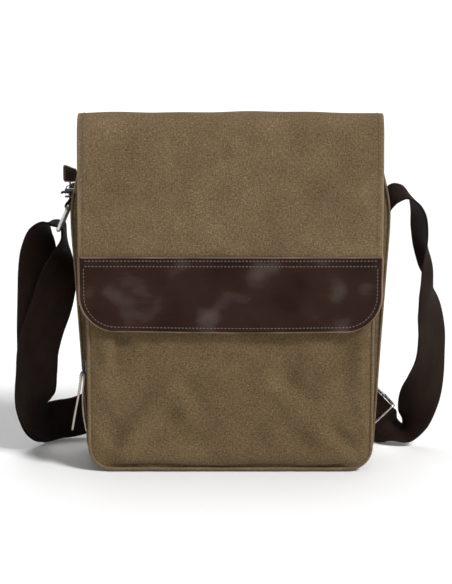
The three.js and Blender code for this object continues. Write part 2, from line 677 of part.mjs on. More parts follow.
function leftRing() {
  const half = RING.innerWidth / 2 + RING.wire;
  const across = v3(0, 1, 0);
  const bend = 4;
  const points = [];
  for (const [side, end, start] of [[-1, 0, 1], [1, 0, 1.5], [1, 1, 0], [-1, 1, 0.5]])
    for (let i = 0; i <= 3; i++) {
      const a = (start + i / 6) * Math.PI;
      const w = side * (half - bend) + bend * Math.cos(a);
      const d = end * RING.length + (end ? -bend : bend) + bend * Math.sin(a);
      points.push(RING_TOP.clone().addScaledVector(across, w).addScaledVector(RING_DOWN, d));
    }
  const normal = RING_DOWN.clone().cross(across).normalize();
  add("ring_left", tube(points, RING.wire, 8, normal, true), nickel);
}

// ---------------------------------------------------------------- strap
// Stations are [x, y, z, wx, wy, wz]: the middle of the webbing and the direction across it.
// From the rivet on the right gusset down and round to the slider.
const FROM_RIGHT = [
  [150.4, 35.5, 219, 0, -0.89, -0.45],
  [150.4, 28.8, 232.5, 0, -0.89, -0.45],
  [150.4, 22, 246, 0, -0.89, -0.45],
  [152.1, 18.6, 252.6, 0, -0.89, -0.45],
  [158, 16.4, 257.4, 0.02, -0.93, -0.35],
  [166.5, 16, 258, 0.06, -0.97, -0.2],
  [174.5, 17, 251.5, 0.16, -0.97, -0.14],
  [180, 18.5, 239, 0.26, -0.96, -0.08],
  [183.6, 21, 221, 0.3, -0.95, 0],
  [186, 25, 200, 0.2, -0.98, 0],
  [188.5, 29, 180, -0.15, -0.99, 0],
  [192, 32.5, 162, -0.48, -0.88, 0],
  [195.6, 36.5, 141, -0.64, -0.77, 0],
  [198, 41, 115, -0.72, -0.69, 0],
  [197.5, 46, 90, -0.78, -0.62, 0.05],
  [193.5, 51, 66, -0.92, -0.3, 0.2],
  [188.2, 54.5, 46, -0.9, 0.22, 0.33],
  [183, 58, 27, -0.65, 0.6, 0.47],
  [177, 61, 14.5, -0.15, 0.85, 0.5],
  [170, 63.5, 10, 0.2, 0.95, 0.2],
  [162, 66.3, 11.2, 0.45, 0.8, 0.38],
];
// Behind the bag. The first five stations lie on the straight run that the slider moves on.
const SLIDER_AT = v3(140.2, 68, 30.3);
const RUN = v3(-1, 0, 1).normalize();
const RUN_ACROSS = v3(1, 0, 1).normalize();
const onRun = (a) => [...SLIDER_AT.clone().addScaledVector(RUN, a).toArray(), ...RUN_ACROSS.toArray()];
const BEHIND = [
  ...[-18, -14.5, 30, 64, 72].map(onRun),
  [71, 69, 95, 0.5, 0, 0.86],
  [48, 72, 102, 0.2, 0, 0.98],
  [18, 76, 100, -0.1, 0, 1],
  [-16, 79, 89, -0.28, 0, 0.96],
  [-50, 80, 74, -0.36, 0, 0.93],
  [-84, 80, 58, -0.38, 0, 0.92],
  [-115, 80, 41.5, -0.34, 0, 0.94],
  [-138, 78.5, 29, -0.22, 0, 0.97],
  [-156, 76, 22.4, -0.05, 0, 1],
];
// Round the left side and up to the ring.
const TO_RING = [
  [-172, 71, 20.8, 0, 0, 1],
  [-181, 61, 21, -0.05, 0, 1],
  [-186, 48, 24, 0.05, 0.2, 0.95],
  [-190, 34, 33, 0.35, 0.5, 0.78],
  [-191, 24, 48, 0.75, 0.5, 0.4],
  [-189.5, 17, 66, 0.95, 0.2, 0.1],
  [-188, 12, 84, 0.99, 0.05, 0],
  [-186.5, 9, 102, 0.99, 0, -0.1],
  [-181, 8, 125, 0.95, 0.05, -0.3],
  [-172, 8.5, 150, 0.9, 0.15, -0.38],
  [-165.5, 12, 175, 0.8, 0.5, -0.25],
  [-161.5, 16.5, 198, 0.4, 0.9, -0.1],
  [-160, 18.6, 212, 0.05, 1, 0],
];
// Over the ring's lower bar, and down outside the first layer.
const AROUND_BAR = [-5, 20, 45, 70, 90].map((degrees) => {
  const a = THREE.MathUtils.degToRad(degrees);
  const r = RING.wire + GAP + WEBBING.thickness / 2;
  return [RING_BOTTOM.x + r * Math.cos(a), RING_BOTTOM.y, RING_BOTTOM.z + r * Math.sin(a), 0, 1, 0];
});
const FROM_RING = [
  [-168.5, 19, 228.4, 0.05, 1, 0],
  [-176, 18.8, 228, 0.2, 0.97, -0.1],
  [-181.8, 18.2, 220, 0.5, 0.85, -0.1],
  [-184.3, 17.3, 203, 0.78, 0.6, -0.1],
  [-185, 16.5, 182, 0.93, 0.35, 0],
  [-185.5, 15.5, 156, 0.97, 0.2, -0.1],
  [-186.5, 15, 128, 0.98, 0.1, -0.1],
  [-187, 15.8, 106, 0.99, 0, -0.05],
];
// The second layer follows the first back to the slider, this far outside it at each station,
// from the one at z = 84 to the one at 30 along the run.
const SECOND_LAYER = [5.6, 5.4, 5.4, 5.4, 5, 4, 3.4, 3, 3.2, 3.6, 4, 4, 4, 4.6, 6, 8, 9.4, 9.4, 9.4];
const SUBDIVISIONS = 8; // frames of webbing for each station

function strap() {
  const first = [...FROM_RIGHT, ...BEHIND, ...TO_RING];
  const firstFrames = ribbonFrames(first, (first.length - 1) * SUBDIVISIONS);
  const from = first.indexOf(TO_RING[6]);
  const second = SECOND_LAYER.map((distance, k) => {
    const { p, u, v } = firstFrames[(from - k) * SUBDIVISIONS];
    return [...p.clone().addScaledVector(v, distance).toArray(), ...u.toArray()];
  });
  const all = [...first, ...AROUND_BAR, ...FROM_RING, ...second];
  const frames = ribbonFrames(all, (all.length - 1) * SUBDIVISIONS);
  const at = (station) => all.indexOf(station);
  const part = (i, j) => sweep(drawnBack(frames.slice(i * SUBDIVISIONS, j * SUBDIVISIONS + 1)), flat());
  const marks = [0, at(FROM_RIGHT.at(-6)), at(BEHIND.at(-1)), at(TO_RING.at(-1)), at(FROM_RING[0]),
    at(second[7]), all.length - 1];
  add("strap_right", riveted(part(marks[0], marks[1]), PIVOT_RIGHT), webbing);
  add("strap_behind_inner", part(marks[1], marks[2]), webbing);
  add("strap_left_inner", part(marks[2], marks[3]), webbing);
  add("strap_ring_turn", part(marks[3], marks[4]), webbing);
  add("strap_left_outer", part(marks[4], marks[5]), webbing);
  add("strap_behind_outer", part(marks[5], marks[6]), webbing);
}

// The webbing's section.
function flat(width = WEBBING.width, thickness = WEBBING.thickness) {
  const [a, b] = [width / 2, thickness / 2];
  return [[-a, -b], [a, -b], [a, b], [-a, b]];
}

// Frames with both ends drawn back by half a gap, so that lengths of webbing meet end to end.
function drawnBack(frames) {
  const moved = (frame, next) => {
    const by = next.p.clone().sub(frame.p).setLength(GAP / 2);
    return { ...frame, p: frame.p.clone().add(by) };
  };
  return [moved(frames[0], frames[1]), ...frames.slice(1, -1), moved(frames.at(-1), frames.at(-2))];
}

// The slider is an arched frame: the webbing passes behind its outer bars and in front of its
// middle bar, and the strap's end is sewn round the middle bar.
function slider() {
  const at = (a, w, n) =>
    SLIDER_AT.clone().addScaledVector(RUN, a).addScaledVector(RUN_ACROSS, w).add(v3(0, n, 0));
  const reach = 12;
  const halfWidth = WEBBING.width / 2 + 3;
  const outerN = -(WEBBING.thickness / 2 + GAP + 1.6);
  const middleN = WEBBING.thickness / 2 + GAP + 1.4 + GAP + 1.5;
  const bar = (a, n, r) => cylinder(r, at(a, -halfWidth, n), at(a, halfWidth, n), 10);
  const cheek = (side) => {
    const middle = (outerN + middleN) / 2;
    const line = [[-reach, outerN], [-reach / 2, middle], [0, middleN], [reach / 2, middle], [reach, outerN]];
    return tube(line.map(([a, n]) => at(a, side * (halfWidth - 1), n)), 1.5, 8, RUN_ACROSS);
  };
  const bars = [bar(-reach, outerN, 1.6), bar(reach, outerN, 1.6), bar(0, middleN, 1.5)];
  add("strap_slider", joined(...bars, cheek(1), cheek(-1)), nickel);

  // The sewn end: a short turn of webbing round the middle bar, its tails lying along the strap.
  const r = 1.5 + GAP + 0.6;
  const station = (a, n) => [...at(a, 0, n).toArray(), ...RUN_ACROSS.toArray()];
  const turn = Array.from({ length: 5 }, (_, i) => {
    const t = (-0.5 + i / 4) * Math.PI;
    return station(-r * Math.cos(t), middleN + r * Math.sin(t));
  });
  const wrap = [station(26, middleN - 1.2), station(12, middleN - 1.6), station(5, middleN - r), ...turn,
    station(5, middleN + r), station(12, middleN + 1.4), station(26, middleN + 0.8)];
  add("strap_end_wrap", ribbon(wrap, 40, WEBBING.width - 1, 1.2), webbing);
}

// ---------------------------------------------------------------- the bag
mainCompartment();
frontCompartment();
frontZipSlider();
insides();
mainZip();
backZip();
flap();
snaps();
rivets();
leftTab();
leftRing();
strap();
slider();

export default bag;
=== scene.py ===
import math

import bmesh
import bpy
import numpy as np
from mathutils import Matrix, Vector


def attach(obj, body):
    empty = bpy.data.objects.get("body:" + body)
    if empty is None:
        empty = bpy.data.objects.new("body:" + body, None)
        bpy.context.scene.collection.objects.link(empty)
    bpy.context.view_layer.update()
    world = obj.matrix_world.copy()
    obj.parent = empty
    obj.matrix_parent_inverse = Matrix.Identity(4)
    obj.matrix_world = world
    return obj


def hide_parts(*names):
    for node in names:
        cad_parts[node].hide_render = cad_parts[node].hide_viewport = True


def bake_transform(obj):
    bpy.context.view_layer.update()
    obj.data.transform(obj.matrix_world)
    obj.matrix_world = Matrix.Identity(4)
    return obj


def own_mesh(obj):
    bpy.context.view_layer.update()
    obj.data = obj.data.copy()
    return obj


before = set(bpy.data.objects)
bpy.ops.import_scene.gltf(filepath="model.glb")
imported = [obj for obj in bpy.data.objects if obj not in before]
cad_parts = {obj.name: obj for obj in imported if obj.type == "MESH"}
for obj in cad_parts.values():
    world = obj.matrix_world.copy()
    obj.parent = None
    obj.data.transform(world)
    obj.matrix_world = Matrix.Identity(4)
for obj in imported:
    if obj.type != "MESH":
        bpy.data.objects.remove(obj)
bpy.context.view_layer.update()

MM = 0.001

# ---------------------------------------------------------------- the CAD's own dimensions, mm
LEAN = -0.035  # y per mm of height of the main compartment
CORD = 1.7  # radius of the piping
BODY_WALL, BODY_BACK, BODY_CORNER, BODY_HALF = -18.0, 47.0, 24.0, 137.0
SWELL = [(137, 24), (140.8, 100), (145.4, 180), (148.5, 235), (147, 258), (141, 284)]  # half width, height
GUSSET_TOP = (254, 276)  # left, right
FRONT_HALF, FRONT_FACE = 134.5, -45.0
FRONT_BOTTOM, FRONT_TOP, FRONT_CORNER, FRONT_TOP_CORNER = 0.6, 236.0, 23.0, 14.0
# the front panel inside its piping: bottom, top, and the radii of its lower and upper corners
FRONT_SEAM = (FRONT_BOTTOM + CORD, FRONT_TOP - CORD, FRONT_CORNER - CORD, FRONT_TOP_CORNER - CORD)
FRONT_ZIP_END = (92, 110)  # left, right
FLAP_HALF, FLAP_HEM, FLAP_CORNER = 140.0, 137.0, 33.0
# the flap's outer face from the back seam to the hem: y, z
FLAP_LINE = [(38, 323.2), (33, 325.4), (26, 328.2), (12, 332.6), (-10, 336.4), (-24, 337.6),
             (-31.5, 336.2), (-37.5, 332.2), (-42, 325.5), (-44.8, 315), (-47, 295), (-49.5, 262),
             (-51.2, 225), (-51.7, 206), (-52, 180), (-52.4, 137)]
PIVOT_LEFT = np.array([-150.0, 19, 257])
PIVOT_RIGHT = np.array([150.0, 22, 246])
STRAP_WIDTH, STRAP_THICK = 40, 1.8
CANVAS_THICK, WALL_THICK, TAPE_THICK, LINING_THICK = 1.6, 1.8, 0.7, 0.7
TOOTH_PITCH = 2.1
RING_WIRE, RING_LENGTH, RING_TILT = 2.0, 25.0, math.radians(24)
RING_PLAY = 0.35  # between the ring and the webbing that turns round it
UP_Y, UP_Z = np.array([0, 1.0, 0]), np.array([0, 0, 1.0])


# ---------------------------------------------------------------- small maths
def unit(v):
    """A vector, or each vector of an array, at length 1."""
    v = np.asarray(v, float)
    return v / np.maximum(np.linalg.norm(v, axis=-1, keepdims=True), 1e-12)


def smooth(t):
    """A soft step from 0 to 1."""
    t = np.clip(t, 0, 1)
    return t * t * (3 - 2 * t)


def catmull(points, t, centripetal):
    """The point at parameter t, from 0 to 1, of a Catmull-Rom curve through points."""
    points = np.asarray(points, float)
    n = len(points)
    s = np.clip(t, 0, 1) * (n - 1)
    i = min(int(s), n - 2)
    w = s - i
    p1, p2 = points[i], points[i + 1]
    if centripetal:
        p0 = points[i - 1] if i > 0 else 2 * p1 - p2
        p3 = points[i + 2] if i + 2 < n else 2 * p2 - p1
        d0, d1, d2 = (max(np.sum((b - a) ** 2) ** 0.25, 1e-4)
                      for a, b in ((p0, p1), (p1, p2), (p2, p3)))
        m1 = ((p1 - p0) / d0 - (p2 - p0) / (d0 + d1) + (p2 - p1) / d1) * d1
        m2 = ((p2 - p1) / d1 - (p3 - p1) / (d1 + d2) + (p3 - p2) / d2) * d1
    else:
        p0 = points[max(i - 1, 0)]
        p3 = points[min(i + 2, n - 1)]
        m1, m2 = (p2 - p0) / 2, (p3 - p1) / 2
    a = 2 * p1 - 2 * p2 + m1 + m2
    b = -3 * p1 + 3 * p2 - 2 * m1 - m2
    return ((a * w + b) * w + m1) * w + p1


def curve(points, count, centripetal=False):
    """That many points of a Catmull-Rom curve."""
    return np.array([catmull(points, t, centripetal) for t in np.linspace(0, 1, count)])


def lengths_along(path):
    """The length along a path to each of its points."""
    return np.r_[0, np.cumsum(np.linalg.norm(np.diff(path, axis=0), axis=1))]


def resample(path, step=None, count=None, closed=False):
    """Points along a path at an even distance."""
    path = np.asarray(path, float)
    if closed:
        path = np.vstack([path, path[:1]])
    along = lengths_along(path)
    if count is None:
        count = max(2, int(round(along[-1] / step)) + 1)
    at = np.linspace(0, along[-1], count)
    if closed:
        at = at[:-1]
    return np.stack([np.interp(at, along, path[:, k]) for k in range(3)], axis=1)


def tangents(path, closed=False):
    """The direction of a path at each of its points."""
    if closed:
        return unit(np.roll(path, -1, axis=0) - np.roll(path, 1, axis=0))
    return unit(np.gradient(path, axis=0))


def spread(cols, squeeze):
    """Shares from -1 to 1, closer together towards both ends."""
    return np.sin(np.linspace(-np.pi / 2, np.pi / 2, cols) * squeeze) / math.sin(np.pi / 2 * squeeze)


def rounded_box(angle, half_x, half_y, power):
    """Points of a box with rounded corners: the smaller the power, the sharper they are."""
    c, s = np.cos(angle), np.sin(angle)
    return half_x * np.sign(c) * np.abs(c) ** power, half_y * np.sign(s) * np.abs(s) ** power


_swell = curve(SWELL, 200)


def body_half(z):
    """Half width of the main compartment at a height."""
    z = np.asarray(z, float)
    low = BODY_HALF - BODY_CORNER + np.sqrt(
        np.clip(BODY_CORNER**2 - (BODY_CORNER - np.clip(z, 0, BODY_CORNER)) ** 2, 0, None))
    side = np.interp(z, _swell[:, 1], _swell[:, 0])
    side = np.where(z > 284, np.interp(z, [284, 292], [141, 137]), side)
    return np.where(z < BODY_CORNER, low, side)


def rounded_half(z, half, bottom, top, low_corner, top_corner):
    """Half width at a height of an upright rectangle with rounded corners."""
    z = np.asarray(z, float)
    arc = lambda r, d: np.sqrt(np.clip(r**2 - np.clip(r - d, 0, r) ** 2, 0, None))
    return half - (low_corner - arc(low_corner, z - bottom)) - (top_corner - arc(top_corner, top - z))


def heights(bottom, top, low_corner, top_corner, step):
    """Heights that are close together where a corner turns, so that its arc is round."""
    arc = 1 - np.cos(np.linspace(0, np.pi / 2, 13))
    low = bottom + low_corner * arc if low_corner else [bottom]
    high = top - top_corner * arc[::-1] if top_corner else [top]
    between = np.linspace(low[-1], high[0], max(2, int((high[0] - low[-1]) / step)))
    return np.r_[low[:-1], between, high[1:]]


# ---------------------------------------------------------------- mesh code
class Build:
    """Vertices in mm, faces, UVs in metres, a material index for each face, and wear for each vertex."""

    def __init__(self):
        self.v, self.f, self.uv, self.m, self.wear = [], [], [], [], []
        self.count = 0

    def add(self, verts, faces, uvs=None, mats=None, wear=None):
        """Adds points and the faces between them, which count from the first of those points."""
        verts = np.asarray(verts, float)
        n = len(verts)
        self.v.append(verts)
        self.uv.append(np.zeros((n, 2)) if uvs is None else np.asarray(uvs, float))
        self.wear.append(np.zeros(n) if wear is None else np.asarray(wear, float))
        self.f += [tuple(int(i) + self.count for i in face) for face in faces]
        self.m += [0] * len(faces) if mats is None else list(mats)
        self.count += n
        return self


def piece(name, build, materials, body=None, replaces=(), blend=None):
    """Makes a build into an object that rides on a body; with a blend it keeps its place and rides on no body."""
    mesh = bpy.data.meshes.new(name)
    v = np.vstack(build.v) * MM
    mesh.from_pydata(v.tolist(), [], build.f)
    materials = materials if isinstance(materials, (list, tuple)) else [materials]
    for m in materials:
        mesh.materials.append(m)
    mesh.polygons.foreach_set("material_index", np.minimum(build.m, len(materials) - 1))
    uv = np.vstack(build.uv)
    loops = np.empty(len(mesh.loops), int)
    mesh.loops.foreach_get("vertex_index", loops)
    mesh.uv_layers.new(name="UVMap").data.foreach_set("uv", uv[loops].ravel())
    wear = mesh.attributes.new("wear", "FLOAT", "POINT")
    wear.data.foreach_set("value", np.concatenate(build.wear).astype(np.float32))
    mesh.polygons.foreach_set("use_smooth", [True] * len(mesh.polygons))
    mesh.update()
    obj = bpy.data.objects.new(name, mesh)
    bpy.context.scene.collection.objects.link(obj)
    if blend:
        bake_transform(obj)
    elif body:
        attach(obj, body)
    if replaces:
        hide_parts(*([replaces] if isinstance(replaces, str) else replaces))
    return obj


def grid_normals(p, wrap):
    """Normals of a grid of points, columns x rows. wrap joins its last column to its first."""
    if wrap:
        across = np.roll(p, -1, axis=1) - np.roll(p, 1, axis=1)
    else:
        across = np.gradient(p, axis=1)
    along = np.gradient(p, axis=0)
    return unit(np.cross(across, along))


def arc_uv(p):
    """UVs in metres from the lengths along the middle row and middle column."""
    rows, cols = p.shape[:2]
    u, v = lengths_along(p[rows // 2]), lengths_along(p[:, cols // 2])
    return np.stack(np.meshgrid(u, v), axis=2) * MM


def shell(build, p, thickness, wrap=False, uv=None, inner=0, rim=0, open_rows=(), wear_width=3.0):
    """A sheet of cloth with its outer face on the grid p[row, column], and rounded raw edges.
    Its normal is columns x rows, and the thickness lies against it. open_rows have no edge."""
    p = np.asarray(p, float)
    rows, cols = p.shape[:2]
    n = grid_normals(p, wrap)
    uv = arc_uv(p) if uv is None else uv
    flat = p.reshape(-1, 3)
    back = (p - n * thickness).reshape(-1, 3)
    index = np.arange(rows * cols).reshape(rows, cols)
    faces, mats = [], []
    last = cols if wrap else cols - 1
    size = rows * cols
    for r in range(rows - 1):
        for c in range(last):
            d = (c + 1) % cols
            a, b, e, g = index[r, c], index[r, d], index[r + 1, d], index[r + 1, c]
            faces.append((a, b, e, g))
            mats.append(0)
            faces.append((g + size, e + size, b + size, a + size))
            mats.append(inner)
    if wrap:
        loops = [list(index[0]), list(index[-1][::-1])]
    else:
        loops = [[*index[0], *index[1:, -1], *index[-1, :-1][::-1], *index[1:-1, 0][::-1]]]
    outward = np.zeros_like(p)
    outward[0] += unit(p[0] - p[1])
    outward[-1] += unit(p[-1] - p[-2])
    if not wrap:
        outward[:, 0] += unit(p[:, 0] - p[:, 1])
        outward[:, -1] += unit(p[:, -1] - p[:, -2])
    outward = unit(outward).reshape(-1, 3)
    distance = np.full((rows, cols), 1e3)
    v_at = lengths_along(p[:, cols // 2])
    if 0 not in open_rows:
        distance = np.minimum(distance, v_at[:, None])
    if -1 not in open_rows:
        distance = np.minimum(distance, (v_at[-1] - v_at)[:, None])
    if not wrap:
        u_at = np.array([lengths_along(row) for row in p])
        distance = np.minimum(distance, np.minimum(u_at, u_at[:, -1:] - u_at))
    wear = np.exp(-distance / wear_width).reshape(-1)
    verts = [flat, back]
    uvs = [uv.reshape(-1, 2)] * 2
    wears = [wear, wear]
    start = 2 * size
    open_index = {i for row in open_rows for i in index[row]}
    for loop in loops:
        ring = np.array(loop)
        middle = (flat[ring] + back[ring]) / 2 + outward[ring] * thickness * 0.45
        verts.append(middle)
        uvs.append(uv.reshape(-1, 2)[ring])
        wears.append(np.ones(len(ring)))
        for i in range(len(ring)):
            j = (i + 1) % len(ring)
            if ring[i] in open_index and ring[j] in open_index:
                continue
            faces.append((ring[j], ring[i], start + i, start + j))
            faces.append((start + j, start + i, ring[i] + size, ring[j] + size))
            mats += [rim, rim]
        start += len(ring)
    return build.add(np.vstack(verts), faces, np.vstack(uvs), mats, np.concatenate(wears))


def ring_faces(rings, sides, closed=False):
    """Faces between rings of points, with a cap at each end unless the last ring joins the first."""
    faces = []
    for r in range(rings if closed else rings - 1):
        s = (r + 1) % rings
        for c in range(sides):
            d = (c + 1) % sides
            faces.append((r * sides + c, r * sides + d, s * sides + d, s * sides + c))
    if not closed:
        faces.append(tuple(range(sides))[::-1])
        faces.append(tuple((rings - 1) * sides + c for c in range(sides)))
    return faces


def sweep(build, path, side, up, section, closed=False, bow=None):
    """A section of [a, b] points along a path, at path + a side + b up. bow is how far its middle stands up."""
    path, side, up, section = (np.asarray(x, float) for x in (path, side, up, section))
    half = np.abs(section[:, 0]).max()
    bow = np.zeros(len(path)) if bow is None else bow
    chord = 1 - (2 / 3) * (bow / half) ** 2  # keeps the section's length as it bows
    arch = bow[:, None] * (1 - (section[:, 0] / half) ** 2)
    p = path[:, None] + side[:, None] * (chord[:, None] * section[:, 0])[:, :, None] \
        + up[:, None] * (section[:, 1] + arch)[:, :, None]
    uv = np.stack(np.meshgrid(lengths_along(section), lengths_along(path)), axis=2) * MM
    return build.add(p.reshape(-1, 3), ring_faces(len(path), len(section), closed), uv.reshape(-1, 2))


def circle(radius, sides):
    """Points [a, b] of a circle."""
    a = np.arange(sides) / sides * 2 * np.pi
    return np.stack([radius * np.cos(a), radius * np.sin(a)], axis=1)


def tube(build, path, radius, sides, closed=False, normal=(0.0, 1, 0)):
    """A round tube along a path. normal is a fixed direction that the path never runs along."""
    path = np.asarray(path, float)
    t = tangents(path, closed)
    side = unit(np.cross(np.asarray(normal, float), t))
    return sweep(build, path, side, np.cross(t, side), circle(radius, sides), closed)


def webbing_section(width, thickness):
    """A flat section with rounded selvedges."""
    a, b = width / 2, thickness / 2
    x = np.linspace(-a + b, a - b, 17)
    swell = b * (1 + 0.12 * np.exp(-((a - b - np.abs(x)) / 1.6) ** 2))  # thicker near its selvedges
    turn = np.radians([-60, -30, 0, 30, 60])
    right = np.stack([a - b + b * np.cos(turn), b * np.sin(turn)], axis=1)
    return np.vstack([np.stack([x, -swell], axis=1), right, np.stack([x[::-1], swell[::-1]], axis=1), -right])


def block(build, lo, hi, radius, basis=None, at=(0, 0, 0)):
    """A box with rounded edges, in its own axes, which basis turns and at moves."""
    basis = np.eye(3) if basis is None else np.asarray(basis, float)
    bm = bmesh.new()
    bmesh.ops.create_cube(bm, size=1.0)
    for v in bm.verts:
        v.co = [a + (c + 0.5) * (b - a) for a, b, c in zip(lo, hi, v.co)]
    bmesh.ops.bevel(bm, geom=bm.edges[:], offset=radius, segments=2, profile=0.5, affect="EDGES")
    bm.verts.index_update()
    verts = np.array([v.co[:] for v in bm.verts])
    faces = [tuple(v.index for v in f.verts) for f in bm.faces]
    bm.free()
    if np.linalg.det(basis) < 0:
        faces = [f[::-1] for f in faces]
    return build.add(verts @ basis + np.asarray(at, float), faces, verts[:, :2] * MM)


def turned(build, profile, origin, axis, sides):
    """A turned shape: profile points are [radius, height along axis], from one end to the other."""
    axis = unit(axis)
    side = unit(np.cross(axis, [0.0, 0.3, 1.0]))
    around = circle(1.0, sides)
    spoke = around[:, :1] * side + around[:, 1:] * np.cross(axis, side)
    p = np.array([np.asarray(origin) + axis * height + radius * spoke for radius, height in profile])
    return build.add(p.reshape(-1, 3), ring_faces(len(profile), sides))


# sections of one stitch: share of its length, share of its radius, height
STITCH = ((-0.5, 0.35, -0.22), (-0.36, 0.9, 0), (0, 1, 0.06), (0.36, 0.9, 0), (0.5, 0.35, -0.22))
STITCH_SIDES = 6


def stitch_row(build, path, normal, pitch=3.3, length=2.3, radius=0.38, lift=0.05):
    """Single stitches along a path on a surface with the given normals."""
    path = np.asarray(path, float)
    normal = np.broadcast_to(np.asarray(normal, float), path.shape)
    along = lengths_along(path)
    count = int((along[-1] - length) // pitch) + 1
    offset = (along[-1] - (count - 1) * pitch) / 2
    at = lambda s, values: np.array([np.interp(s, along, values[:, k]) for k in range(3)])
    around = circle(1.0, STITCH_SIDES)
    faces = ring_faces(len(STITCH), STITCH_SIDES)
    v_uv = np.repeat(np.arange(len(STITCH)), STITCH_SIDES) * length / (len(STITCH) - 1)
    for i in range(max(count, 0)):
        middle = offset + i * pitch
        rings = []
        for share, size, sink in STITCH:
            p, n = at(middle + share * length, path), unit(at(middle + share * length, normal))
            t = unit(at(middle + 0.6, path) - at(middle - 0.6, path))
            side = unit(np.cross(n, t))
            rings.append(p + n * (lift + sink)
                         + radius * size * (around[:, :1] * side * 1.25 + around[:, 1:] * n))
        v = np.vstack(rings)
        build.add(v, faces, np.stack([v[:, 0], v_uv], axis=1) * MM)
    return build


# ---------------------------------------------------------------- how canvas settles
SHEETS = {}  # by name: the points at rest, and what hang() was told
SHEET_STEP = 6.0
SETTLE_FRAMES = 24


def hang(name, width, height, slack, pressure, seed, pinned="LRTB"):
    """Adds a sheet of canvas, held along some of its sides, to what settle() simulates."""
    nx, nz = int(width / SHEET_STEP) + 1, int(height / SHEET_STEP) + 1
    rng = np.random.default_rng(seed)
    x, z = np.meshgrid(np.linspace(0, width, nx), np.linspace(0, height, nz))
    y = -0.6 * np.sin(np.pi * x / width) * np.sin(np.pi * z / height) + rng.normal(0, 0.25, x.shape)
    rest = np.stack([x, y, z], axis=2)
    SHEETS[name] = {"rest": rest, "slack": slack, "pressure": pressure, "pinned": pinned}


def settle(frames):
    """Runs every hung sheet as cloth and keeps how far each of its points moved."""
    scene = bpy.context.scene
    made = []
    for i, (name, s) in enumerate(SHEETS.items()):
        rest = s["rest"]
        nz, nx = rest.shape[:2]
        mesh = bpy.data.meshes.new("settling_" + name)
        index = np.arange(nz * nx).reshape(nz, nx)
        faces = np.stack([index[:-1, :-1], index[:-1, 1:], index[1:, 1:], index[1:, :-1]], axis=2)
        mesh.from_pydata((rest.reshape(-1, 3) * MM).tolist(), [], faces.reshape(-1, 4).tolist())
        obj = bpy.data.objects.new("settling_" + name, mesh)
        obj.location = (0, 3 + i, 0)
        scene.collection.objects.link(obj)
        held = set()
        for side, ids in (("L", index[:, 0]), ("R", index[:, -1]), ("B", index[0]), ("T", index[-1])):
            if side in s["pinned"]:
                held |= set(int(k) for k in ids)
        obj.vertex_groups.new(name="held").add(sorted(held), 1.0, "REPLACE")
        cloth = obj.modifiers.new("cloth", "CLOTH")
        c = cloth.settings
        c.quality = 6
        c.mass = 0.4
        c.tension_stiffness = c.compression_stiffness = 25
        c.shear_stiffness = 12
        c.bending_stiffness = 0.6
        c.air_damping = 2.5
        c.vertex_group_mass = "held"
        c.shrink_min = -s["slack"]
        c.use_pressure = True
        c.uniform_pressure_force = s["pressure"]
        cloth.collision_settings.use_collision = False
        cloth.collision_settings.use_self_collision = False
        made.append((name, obj))
    for f in range(1, frames + 1):
        scene.frame_set(f)
    graph = bpy.context.evaluated_depsgraph_get()
    for name, obj in made:
        mesh = obj.evaluated_get(graph).to_mesh()
        co = np.empty(len(mesh.vertices) * 3)
        mesh.vertices.foreach_get("co", co)
        rest = SHEETS[name]["rest"]
        SHEETS[name]["moved"] = co.reshape(rest.shape) / MM - rest
        bpy.data.objects.remove(obj)
    scene.frame_set(1)


def relief(name, u, v, low, high):
    """How far a settled sheet stands out at the shares u and v of its width and height, in mm."""
    s = SHEETS[name]
    nz, nx = s["rest"].shape[:2]
    u, v = np.broadcast_arrays(np.clip(u, 0, 1), np.clip(v, 0, 1))
    if "moved" not in s:
        field = np.sin(np.pi * u) * np.sin(np.pi * v) * high * 0.7
        return np.clip(field, low, high)
    out = -s["moved"][:, :, 1]
    x, z = u * (nx - 1), v * (nz - 1)
    i, j = np.minimum(x.astype(int), nx - 2), np.minimum(z.astype(int), nz - 2)
    a, b = smooth(x - i), smooth(z - j)
    value = (out[j, i] * (1 - a) * (1 - b) + out[j, i + 1] * a * (1 - b)
             + out[j + 1, i] * (1 - a) * b + out[j + 1, i + 1] * a * b)
    middle, half = (low + high) / 2, (high - low) / 2
    return middle + half * np.tanh((value - middle) / half)


